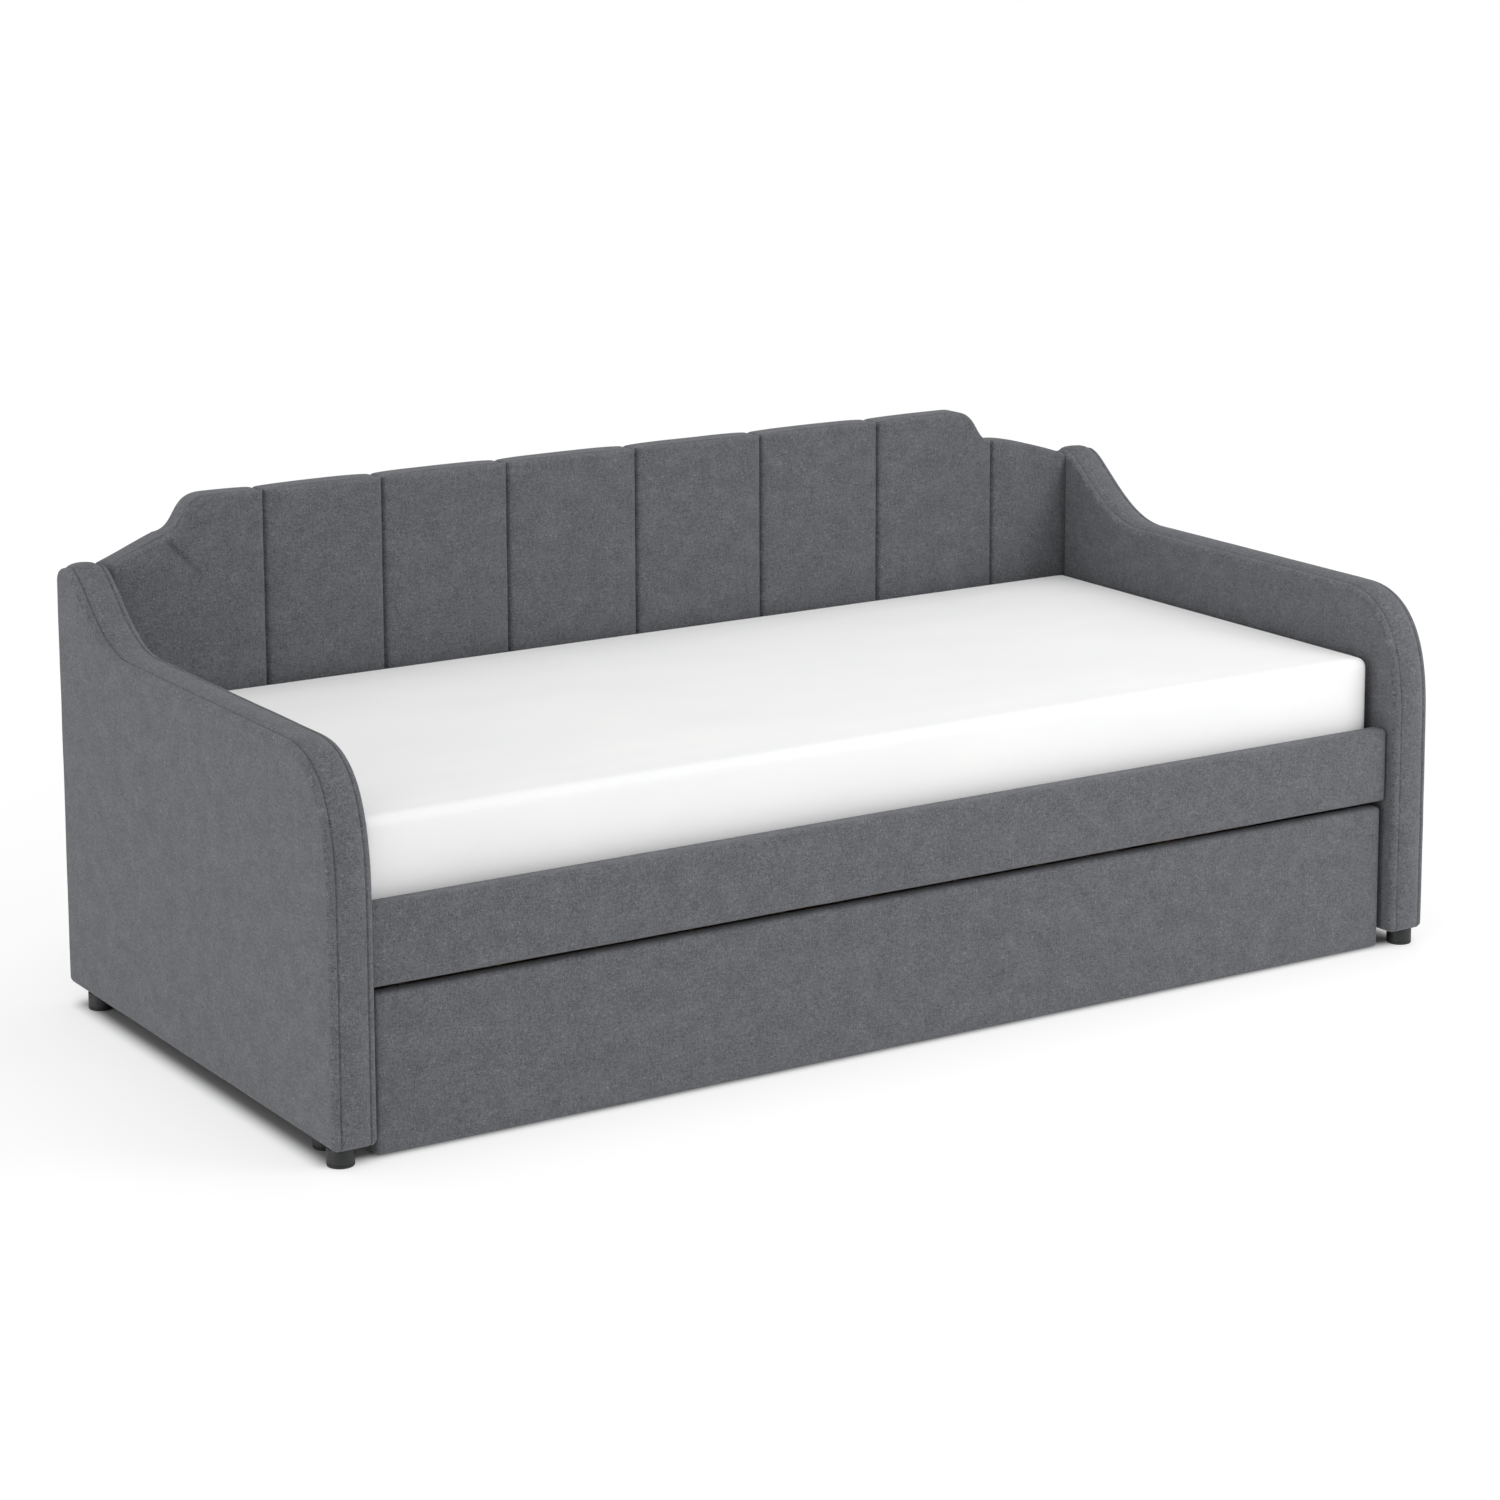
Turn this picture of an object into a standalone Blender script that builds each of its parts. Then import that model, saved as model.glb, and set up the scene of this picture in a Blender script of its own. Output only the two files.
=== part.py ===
"""Upholstered daybed with a pull-out trundle bed on fixed casters.

Metres, +Z up, +X to the right and -Y to the front; the origin is on the floor under the
middle of the bed. The bed stands on plastic feet under its two arms. The trundle is a slatted
tray behind an upholstered front board; it rolls out towards -Y on four fixed casters.
"""

import math

import bmesh
import bpy
from mathutils import Vector

# Driving dimensions of the bed
INNER_LENGTH = 2.030  # between the arms, for a mattress 2.0 m long
ARM_THICKNESS = 0.075
DEPTH = 1.030  # front of the arms to the back of the bed
BACK_HEIGHT = 0.866
BACK_THICKNESS = 0.0565
FRAME_BOTTOM = 0.030  # underside of the arms and the back, on the feet
RIM = 0.008  # rounding of the padded edges
GAP = 0.0003  # between pieces that touch

# Profile of an arm, heights above the floor
ARM_HIGH = 0.770  # at the back
ARM_LOW = 0.649  # along the middle
ARM_NOSE_HEIGHT = 0.420  # where the front of the arm becomes upright
ARM_NOSE_LENGTH = 0.160
ARM_STEP_START = 0.470  # y where the high end begins to fall
ARM_STEP_END = 0.235

# Profile of the back: sloping shoulders at the arms, then a step up to the flat top
SHOULDER_END_HEIGHT = 0.762  # at the arms
SHOULDER_HEIGHT = 0.804  # at the foot of the step
STEP_LENGTH = 0.090
CROWN_ENDS = {"left": 0.820, "right": 0.750}  # the flat top's reach from the middle

# Front rail, slatted base and mattress
RAIL_FRONT = -0.492
RAIL_THICKNESS = 0.034
RAIL_BOTTOM = 0.272
RAIL_TOP = 0.403
RAIL_CLEARANCE = 0.0015  # at each arm
LEDGE_TOP = 0.332
LEDGE_HEIGHT = 0.032
LEDGE_DEPTH = 0.028
LEDGE_HALF_LENGTH = 0.975
BED_SLATS = 12
BED_SLAT = (0.070, 0.905, 0.015)
BED_SLAT_SPAN = 1.815  # from the first slat's middle to the last one's
MATTRESS = (2.022, 0.910, 0.181)
MATTRESS_ROUNDING = 0.018

# Feet: a pair under the front of each arm and one under its back
FOOT_RADIUS = 0.022
FOOT_PLACES = {"front": (1.064, -0.479), "second": (1.046, -0.395), "rear": (1.064, 0.434)}

# Brackets that hold the rail and the back to the arms
BRACKET_LEG = 0.036
BRACKET_THICKNESS = 0.003
BRACKET_BOTTOM = 0.284
BRACKET_TOP = 0.330

# Trundle
FRONT_HALF_WIDTH = 1.006
FRONT_FACE = -0.488
FRONT_THICKNESS = 0.030
FRONT_BOTTOM = 0.003
FRONT_TOP = 0.261
BOARD = 0.018
TRAY_HALF_WIDTH = 0.990
TRAY_BACK = 0.4535
TRAY_BOTTOM = 0.040
TRAY_TOP = 0.150
TRUNDLE_LEDGE_TOP = 0.085
TRUNDLE_LEDGE = 0.024
TRUNDLE_SLATS = 10
TRUNDLE_SLAT_WIDTH = 0.070
TRUNDLE_SLAT_THICKNESS = 0.012
TRUNDLE_SLAT_SPAN = 1.710

# Casters, on the inner faces of the tray's sides
WHEEL_RADIUS = 0.020
WHEEL_WIDTH = 0.016
AXLE_RADIUS = 0.003
AXLE_CLEARANCE = 0.0003
HOUSING = (0.030, 0.066, 0.064)
HOUSING_BOTTOM = 0.012
SLOT_WIDTH = 0.019
CASTER_PLACES = {"front": -0.360, "rear": 0.345}

SIDES = {"left": -1, "right": 1}
HALF_INNER = INNER_LENGTH / 2
HALF_DEPTH = DEPTH / 2
BACK_FRONT = HALF_DEPTH - BACK_THICKNESS
RAIL_INNER = RAIL_FRONT + RAIL_THICKNESS
FRONT_INNER = FRONT_FACE + FRONT_THICKNESS
SLAT_TOP = LEDGE_TOP + GAP + BED_SLAT[2]


def clear_scene():
    for item in list(bpy.data.objects):
        bpy.data.objects.remove(item, do_unlink=True)


def new_collection(name):
    collection = bpy.data.collections.new(name)
    bpy.context.scene.collection.children.link(collection)
    return collection


def new_material(name, colour, roughness, metallic=0.0):
    material = bpy.data.materials.new(name)
    material.use_nodes = True
    shader = material.node_tree.nodes["Principled BSDF"]
    shader.inputs["Base Color"].default_value = (*colour, 1.0)
    shader.inputs["Roughness"].default_value = roughness
    shader.inputs["Metallic"].default_value = metallic
    material.diffuse_color = (*colour, 1.0)
    return material


def place(item, material, parent=None, collection=None):
    """Link a piece, give it its material and hang it on its parent where it stands."""
    (collection or PART).objects.link(item)
    if material is not None:
        item.data.materials.append(material)
    if parent is not None:
        item.parent = parent
        item.matrix_parent_inverse = parent.matrix_basis.inverted()
    return item


def cutter(item):
    item.hide_render = True
    item.display_type = "WIRE"
    return item


def box_object(name, size, centre):
    """A box whose object stands at its own centre."""
    shape = bmesh.new()
    bmesh.ops.create_cube(shape, size=1.0)
    bmesh.ops.scale(shape, vec=Vector(size), verts=shape.verts)
    mesh = bpy.data.meshes.new(name)
    shape.to_mesh(mesh)
    shape.free()
    item = bpy.data.objects.new(name, mesh)
    item.location = centre
    return item


def block(name, low, high, material, parent, rounding=0.0, segments=1):
    """A board, slat or pad between two corners, with its edges eased."""
    low, high = Vector(low), Vector(high)
    item = place(box_object(name, high - low, (low + high) / 2), material, parent)
    if rounding:
        bevel = item.modifiers.new("eased_edges", "BEVEL")
        bevel.width = rounding
        bevel.segments = segments
    return item


def cylinder_object(name, radius, length, centre, along_x=False, sides=32):
    shape = bmesh.new()
    bmesh.ops.create_cone(
        shape, cap_ends=True, segments=sides, radius1=radius, radius2=radius, depth=length
    )
    mesh = bpy.data.meshes.new(name)
    shape.to_mesh(mesh)
    shape.free()
    mesh.shade_smooth()
    mesh.set_sharp_from_angle(angle=math.radians(40))
    item = bpy.data.objects.new(name, mesh)
    item.location = centre
    item.rotation_euler = (0, math.pi / 2, 0) if along_x else (0, 0, 0)
    return item


def arc(centre, radius, start, end, steps=5):
    """Points on a circle's arc, angles in degrees."""
    angles = [math.radians(start + (end - start) * i / steps) for i in range(steps + 1)]
    return [(centre[0] + radius * math.cos(a), centre[1] + radius * math.sin(a)) for a in angles]


def sweep(p0, p1, p2, p3, steps=12):
    """Points on a cubic curve from p0 to p3, leaving out p0."""
    points = []
    for i in range(1, steps + 1):
        t = i / steps
        weights = ((1 - t) ** 3, 3 * t * (1 - t) ** 2, 3 * t * t * (1 - t), t ** 3)
        points.append(
            tuple(sum(w * p[k] for w, p in zip(weights, (p0, p1, p2, p3))) for k in (0, 1))
        )
    return points


def outline_object(name, points, thickness, rim=0.0):
    """A flat outline with rounded rims: a filled 2D curve, thickness across its plane."""
    curve = bpy.data.curves.new(name, "CURVE")
    curve.dimensions = "2D"
    curve.fill_mode = "BOTH"
    curve.extrude = thickness / 2 - rim
    curve.bevel_depth = rim
    curve.bevel_resolution = 1
    curve.offset = -rim
    spline = curve.splines.new("POLY")
    spline.points.add(len(points) - 1)
    for point, (u, v) in zip(spline.points, points):
        point.co = (u, v, 0.0, 1.0)
    spline.use_cyclic_u = True
    item = bpy.data.objects.new(name, curve)
    weld = item.modifiers.new("weld_caps", "WELD")
    weld.merge_threshold = 0.00002
    return item


def arm_outline():
    """The arm seen from the side, as (y, z): high at the back, an S down, a round nose."""
    corner = 0.012
    crown = 0.024
    front, back = -HALF_DEPTH, HALF_DEPTH
    nose_top = (front + ARM_NOSE_LENGTH, ARM_LOW - 0.002)
    points = arc((front + corner, FRAME_BOTTOM + corner), corner, 180, 270, 4)
    points += arc((back - corner, FRAME_BOTTOM + corner), corner, 270, 360, 4)
    points += arc((back - crown, ARM_HIGH - 0.004 - crown), crown, 0, 82, 5)
    step_start = (ARM_STEP_START, ARM_HIGH)
    points.append(step_start)
    step_end = (ARM_STEP_END, ARM_LOW)
    upper_pull = (ARM_STEP_START - 0.050, ARM_HIGH)
    lower_pull = (ARM_STEP_END + 0.125, ARM_LOW)
    points += sweep(step_start, upper_pull, lower_pull, step_end, 14)
    points.append(nose_top)
    nose_end = (front, ARM_NOSE_HEIGHT)
    top_pull = (front + 0.070, nose_top[1])
    front_pull = (front, ARM_NOSE_HEIGHT + 0.177)
    points += sweep(nose_top, top_pull, front_pull, nose_end, 14)
    return points


def back_half(crown):
    """Half of the back's outline from its foot to the flat top, as (x, z) with x outwards."""
    end = HALF_INNER - GAP
    foot = (crown + STEP_LENGTH, SHOULDER_HEIGHT)
    slope = end - foot[0]
    points = [(end, FRAME_BOTTOM), (end, SHOULDER_END_HEIGHT)]
    end_pull = (end - slope * 0.33, 0.782)
    foot_pull = (end - slope * 0.73, 0.801)
    points += sweep(points[-1], end_pull, foot_pull, foot, 6)
    lower_pull = (foot[0] - 0.033, 0.809)
    upper_pull = (crown + 0.048, 0.864)
    points += sweep(foot, lower_pull, upper_pull, (crown, BACK_HEIGHT), 10)
    return points


def back_outline():
    """The back seen from the front, as (x, z): a flat crown, S steps and sloping shoulders."""
    right = back_half(CROWN_ENDS["right"])
    left = back_half(CROWN_ENDS["left"])
    return right + [(-x, z) for x, z in reversed(left)]


def make_arm(side, sign):
    item = outline_object(f"{side}_arm", arm_outline(), ARM_THICKNESS, RIM)
    item.location = (sign * (HALF_INNER + ARM_THICKNESS / 2), 0, 0)
    item.rotation_euler = (math.pi / 2, 0, math.pi / 2)
    place(item, FABRIC, BED)


def make_back():
    item = outline_object("back_panel", back_outline(), BACK_THICKNESS, RIM)
    item.location = (0, HALF_DEPTH - BACK_THICKNESS / 2, 0)
    item.rotation_euler = (math.pi / 2, 0, 0)
    place(item, FABRIC, BED)


def make_rail():
    end = HALF_INNER - RAIL_CLEARANCE
    block(
        "front_rail",
        (-end, RAIL_FRONT, RAIL_BOTTOM),
        (end, RAIL_INNER, RAIL_TOP),
        FABRIC,
        BED,
        RIM,
        2,
    )


def make_feet(side, sign):
    for place_name, (x, y) in FOOT_PLACES.items():
        height = FRAME_BOTTOM - GAP
        foot = cylinder_object(
            f"foot_{side}_{place_name}", FOOT_RADIUS, height, (sign * x, y, height / 2)
        )
        place(foot, PLASTIC, BED)


def make_bracket(name, corner, x_way, y_way):
    """A steel angle in the corner between an arm and the rail or the back."""
    leg, wall = BRACKET_LEG, BRACKET_THICKNESS
    angle = [(0, 0), (leg, 0), (leg, wall), (wall, wall), (wall, leg), (0, leg)]
    points = [(corner[0] + x_way * u, corner[1] + y_way * v) for u, v in angle]
    item = outline_object(name, points, BRACKET_TOP - BRACKET_BOTTOM)
    item.location = (0, 0, (BRACKET_TOP + BRACKET_BOTTOM) / 2)
    place(item, STEEL, BED)


def make_brackets(side, sign):
    arm_face = sign * (HALF_INNER - GAP)
    make_bracket(f"rail_bracket_{side}", (arm_face, RAIL_INNER + GAP), -sign, 1)
    make_bracket(f"back_bracket_{side}", (arm_face, BACK_FRONT - GAP), -sign, -1)


def spread(count, span):
    """Middles of count slats over a span."""
    return [span * (i / (count - 1) - 0.5) for i in range(count)]


def make_bed_base():
    low, high = LEDGE_TOP - LEDGE_HEIGHT, LEDGE_TOP
    end = LEDGE_HALF_LENGTH
    front = RAIL_INNER + GAP
    back = BACK_FRONT - GAP
    block("front_ledge", (-end, front, low), (end, front + LEDGE_DEPTH, high), PINE, BED, 0.002)
    block("rear_ledge", (-end, back - LEDGE_DEPTH, low), (end, back, high), PINE, BED, 0.002)
    width, length, thickness = BED_SLAT
    bottom = LEDGE_TOP + GAP
    for number, x in enumerate(spread(BED_SLATS, BED_SLAT_SPAN), 1):
        block(
            f"bed_slat_{number:02d}",
            (x - width / 2, -length / 2, bottom),
            (x + width / 2, length / 2, bottom + thickness),
            BIRCH,
            BED,
            0.003,
        )


def make_mattress():
    length, width, thickness = MATTRESS
    bottom = SLAT_TOP + GAP
    block(
        "mattress",
        (-length / 2, -width / 2, bottom),
        (length / 2, width / 2, bottom + thickness),
        KNIT,
        None,
        MATTRESS_ROUNDING,
        3,
    )


def make_trundle_boards():
    end = FRONT_HALF_WIDTH
    block(
        "trundle_front",
        (-end, FRONT_FACE, FRONT_BOTTOM),
        (end, FRONT_INNER, FRONT_TOP),
        FABRIC,
        TRUNDLE,
        RIM,
        2,
    )
    inner = TRAY_HALF_WIDTH - BOARD
    for side, sign in SIDES.items():
        faces = sorted((sign * inner, sign * TRAY_HALF_WIDTH))
        block(
            f"trundle_side_{side}",
            (faces[0], FRONT_INNER + GAP, TRAY_BOTTOM),
            (faces[1], TRAY_BACK, TRAY_TOP),
            PINE,
            TRUNDLE,
            0.002,
        )
    block(
        "trundle_back_board",
        (-inner + GAP, TRAY_BACK - BOARD, TRAY_BOTTOM),
        (inner - GAP, TRAY_BACK, TRAY_TOP),
        PINE,
        TRUNDLE,
        0.002,
    )


def make_trundle_base():
    inner = TRAY_HALF_WIDTH - BOARD - GAP
    top = TRUNDLE_LEDGE_TOP
    front = FRONT_INNER + GAP
    back = TRAY_BACK - BOARD - GAP
    rows = {
        "trundle_ledge_front": (front, front + TRUNDLE_LEDGE),
        "trundle_beam_middle": (-TRUNDLE_LEDGE / 2, TRUNDLE_LEDGE / 2),
        "trundle_ledge_rear": (back - TRUNDLE_LEDGE, back),
    }
    for name, (low_y, high_y) in rows.items():
        block(name, (-inner, low_y, TRAY_BOTTOM), (inner, high_y, top), PINE, TRUNDLE, 0.002)
    half = TRUNDLE_SLAT_WIDTH / 2
    bottom = top + GAP
    for number, x in enumerate(spread(TRUNDLE_SLATS, TRUNDLE_SLAT_SPAN), 1):
        block(
            f"trundle_slat_{number:02d}",
            (x - half, front, bottom),
            (x + half, back, bottom + TRUNDLE_SLAT_THICKNESS),
            BIRCH,
            TRUNDLE,
            0.003,
        )


def wheel_mesh():
    """A solid wheel with a bore and a crowned tread, turned about its local Z."""
    half = WHEEL_WIDTH / 2
    bore = AXLE_RADIUS + AXLE_CLEARANCE
    hub = 0.008
    dish = 0.003
    profile = [
        (bore, -half),
        (bore, half),
        (hub, half),
        (hub + 0.001, half - dish),
        (WHEEL_RADIUS - 0.005, half - dish),
        (WHEEL_RADIUS - 0.004, half - 0.001),
        (WHEEL_RADIUS - 0.001, half - 0.001),
        (WHEEL_RADIUS, half - 0.004),
        (WHEEL_RADIUS, -half + 0.004),
        (WHEEL_RADIUS - 0.001, -half + 0.001),
        (WHEEL_RADIUS - 0.004, -half + 0.001),
        (WHEEL_RADIUS - 0.005, -half + dish),
        (hub + 0.001, -half + dish),
        (hub, -half),
    ]
    mesh = bpy.data.meshes.new("caster_wheel")
    count = len(profile)
    mesh.from_pydata(
        [(radius, 0, height) for radius, height in profile],
        [(i, (i + 1) % count) for i in range(count)],
        [],
    )
    return mesh


def turn(item, steps):
    screw = item.modifiers.new("turned", "SCREW")
    screw.steps = steps
    screw.render_steps = steps
    screw.use_merge_vertices = True
    screw.merge_threshold = 0.00001
    screw.use_smooth_shade = False


def make_caster(side, sign, row, y, mesh):
    """Housing on the tray's side, a steel axle through it and the wheel between its cheeks."""
    name = f"{side}_{row}"
    width, length, height = HOUSING
    x = sign * (TRAY_HALF_WIDTH - BOARD - GAP - width / 2)
    axle_height = WHEEL_RADIUS
    housing = box_object(f"caster_housing_{name}", HOUSING, (x, y, HOUSING_BOTTOM + height / 2))
    place(housing, PLASTIC, TRUNDLE)
    slot_height = 0.046
    slot = box_object(
        f"slot_{name}",
        (SLOT_WIDTH, length - 0.016, slot_height),
        (x, y, slot_height / 2),
    )
    hole = cylinder_object(
        f"hole_{name}", AXLE_RADIUS + AXLE_CLEARANCE, width * 1.5, (x, y, axle_height), True, 24
    )
    for item in (slot, hole):
        cut = housing.modifiers.new(item.name, "BOOLEAN")
        cut.object = cutter(place(item, None, TRUNDLE, CUTTERS))
        cut.operation = "DIFFERENCE"
        cut.solver = "EXACT"
    axle_length = width - 0.001
    axle = cylinder_object(
        f"caster_axle_{name}", AXLE_RADIUS, axle_length, (x, y, axle_height), True, 24
    )
    place(axle, STEEL, TRUNDLE)
    wheel = bpy.data.objects.new(f"caster_wheel_{name}", mesh)
    wheel.location = (x, y, axle_height)
    wheel.rotation_euler = (0, math.pi / 2, 0)
    turn(wheel, 36)
    place(wheel, None, TRUNDLE)


def make_casters():
    mesh = wheel_mesh()
    mesh.materials.append(NYLON)
    for side, sign in SIDES.items():
        for row, y in CASTER_PLACES.items():
            make_caster(side, sign, row, y, mesh)


clear_scene()
PART = new_collection("trundle_bed")
CUTTERS = new_collection("cutters")

FABRIC = new_material("woven_grey_upholstery", (0.105, 0.113, 0.125), 0.9)
KNIT = new_material("white_knit_cover", (0.85, 0.85, 0.85), 0.85)
PINE = new_material("planed_pine", (0.62, 0.43, 0.24), 0.6)
BIRCH = new_material("bent_birch_slat", (0.70, 0.53, 0.33), 0.5)
PLASTIC = new_material("black_moulded_plastic", (0.012, 0.012, 0.013), 0.45)
NYLON = new_material("grey_nylon_tread", (0.06, 0.06, 0.065), 0.5)
STEEL = new_material("zinc_plated_steel", (0.55, 0.56, 0.57), 0.35, 1.0)

BED = bpy.data.objects.new("bed_frame", None)
TRUNDLE = bpy.data.objects.new("trundle_slide", None)
TRUNDLE.location = (0, FRONT_FACE, 0)
for empty in (BED, TRUNDLE):
    PART.objects.link(empty)

for side_name, way in SIDES.items():
    make_arm(side_name, way)
    make_feet(side_name, way)
    make_brackets(side_name, way)
make_back()
make_rail()
make_bed_base()
make_mattress()
make_trundle_boards()
make_trundle_base()
make_casters()
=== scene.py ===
"""Looks of an upholstered daybed with a pull-out trundle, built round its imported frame.

Metres, +Z up, +X to the right and -Y to the front, as in the frame. The covers of the arms, the
back, the front rail and the trundle front stand for their plain solids, and the mattress and the
feet too; timber, slats, brackets and casters are the frame's own pieces with finished materials.
"""

import math

import bmesh
import bpy
import numpy as np
from mathutils import Euler, Matrix, Vector, noise


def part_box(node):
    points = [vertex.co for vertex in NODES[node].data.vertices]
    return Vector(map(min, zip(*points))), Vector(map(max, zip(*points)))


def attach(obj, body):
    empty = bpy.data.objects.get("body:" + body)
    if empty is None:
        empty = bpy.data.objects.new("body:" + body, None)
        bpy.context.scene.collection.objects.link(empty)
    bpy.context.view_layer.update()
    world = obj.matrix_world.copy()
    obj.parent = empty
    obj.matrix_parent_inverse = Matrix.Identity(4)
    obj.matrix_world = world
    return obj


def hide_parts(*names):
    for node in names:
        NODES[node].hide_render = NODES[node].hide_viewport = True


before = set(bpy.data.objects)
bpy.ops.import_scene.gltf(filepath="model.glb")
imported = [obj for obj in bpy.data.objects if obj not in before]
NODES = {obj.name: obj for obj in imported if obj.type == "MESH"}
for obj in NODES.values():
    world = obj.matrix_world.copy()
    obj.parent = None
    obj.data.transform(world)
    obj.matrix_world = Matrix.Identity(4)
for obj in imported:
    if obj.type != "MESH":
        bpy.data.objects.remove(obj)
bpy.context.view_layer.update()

SIDES = {"left": -1, "right": 1}
MM = 0.001

# Cloth and padding
EDGE_ROUNDING = 10.0 * MM
SEAM_FROM_SIDE = 12.2 * MM
SEAM_DEPTH = 2.8 * MM
SEAM_HALF_WIDTH = 1.7 * MM
BAND_CROWN = 6.8 * MM
BAND_INSET = 2.6 * MM  # the border starts this far inside the arm's plain outline
OUTER_CROWN = 2.2 * MM
INNER_CROWN = 1.0 * MM
LOOP_SPACING = 9.0 * MM

# Side outline of an arm: heights above the floor, and distances from the front
ARM_LOW = 0.649
ARM_HIGH = 0.770
ARM_NOSE_HEIGHT = 0.420
ARM_NOSE_LENGTH = 0.160
ARM_STEP_START = 0.470
ARM_STEP_END = 0.235
ARM_CORNER = 0.015
ARM_CROWN = 0.024

# Top line of the back: sloping shoulders, a step up at each end and a flat top between
SHOULDER_END_HEIGHT = 0.762
SHOULDER_HEIGHT = 0.804
SHOULDER_PULLS = {"left": (0.775, 0.793), "right": (0.782, 0.801)}
STEP_LENGTH = 0.090
CROWN_ENDS = {"left": 0.820, "right": 0.750}
CHANNEL_SEAMS = (-0.719, -0.488, -0.236, 0.034, 0.306, 0.570, 0.840)
SEAM_FOLD = (7.0 * MM, 3.0 * MM)  # the narrow fold at a channel's seam: depth, half width
SEAM_HOLLOW = (4.6 * MM, 15.0 * MM)  # the wider hollow round it
CREASE_DEPTH = 8.0 * MM
BACK_ROUNDING = 8.0 * MM
REAR_ROUNDING = 6.0 * MM
BACK_SEAM_AT = 10.5 * MM
MATTRESS_ROUNDING = 18.0 * MM

# Half size of the bed's footprint on the floor: inside it the floor's painted glow is off, leaving
# painted shade under the bed
GLOW_OFF_HALF_SIZE = (1.065, 0.455, 0.0)

# Sewing thread, screws and staples
STITCH_PITCH = 4.2 * MM
STITCH_LENGTH = 2.9 * MM
THREAD_RADIUS = 0.35 * MM
SCREW_RADIUS = 4.6 * MM
STAPLE_PITCH = 38 * MM


# ------------------------------------------------------------------ small tools


def linear(hex_colour):
    """An sRGB hex colour as linear RGBA."""
    parts = [int(hex_colour[i : i + 2], 16) / 255 for i in (1, 3, 5)]
    return (*(p / 12.92 if p <= 0.04045 else ((p + 0.055) / 1.055) ** 2.4 for p in parts), 1.0)


def add(tree, kind, inputs=None, stops=None, **settings):
    """A node with its settings, and its inputs as values or as sockets to link from."""
    node = tree.nodes.new(kind)
    for name, value in settings.items():
        setattr(node, name, value)
    for key, value in (inputs or {}).items():
        if isinstance(value, bpy.types.NodeSocket):
            tree.links.new(value, node.inputs[key])
        else:
            node.inputs[key].default_value = value
    if stops:
        ramp = node.color_ramp.elements
        while len(ramp) < len(stops):
            ramp.new(0.5)
        for element, (position, colour) in zip(ramp, stops):
            element.position = position
            element.color = colour
    return node


def new_surface(name, **values):
    """A material with its shader, whose uniform values sit on its own sockets."""
    material = bpy.data.materials.new(name)
    material.use_nodes = True
    tree = material.node_tree
    shader = tree.nodes["Principled BSDF"]
    for key, value in values.items():
        shader.inputs[key.replace("_", " ")].default_value = value
    return material, tree, shader


def smoothstep(low, high, value):
    t = np.clip((value - low) / (high - low), 0.0, 1.0)
    return t * t * (3 - 2 * t)


# ------------------------------------------------------------------ materials


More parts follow.
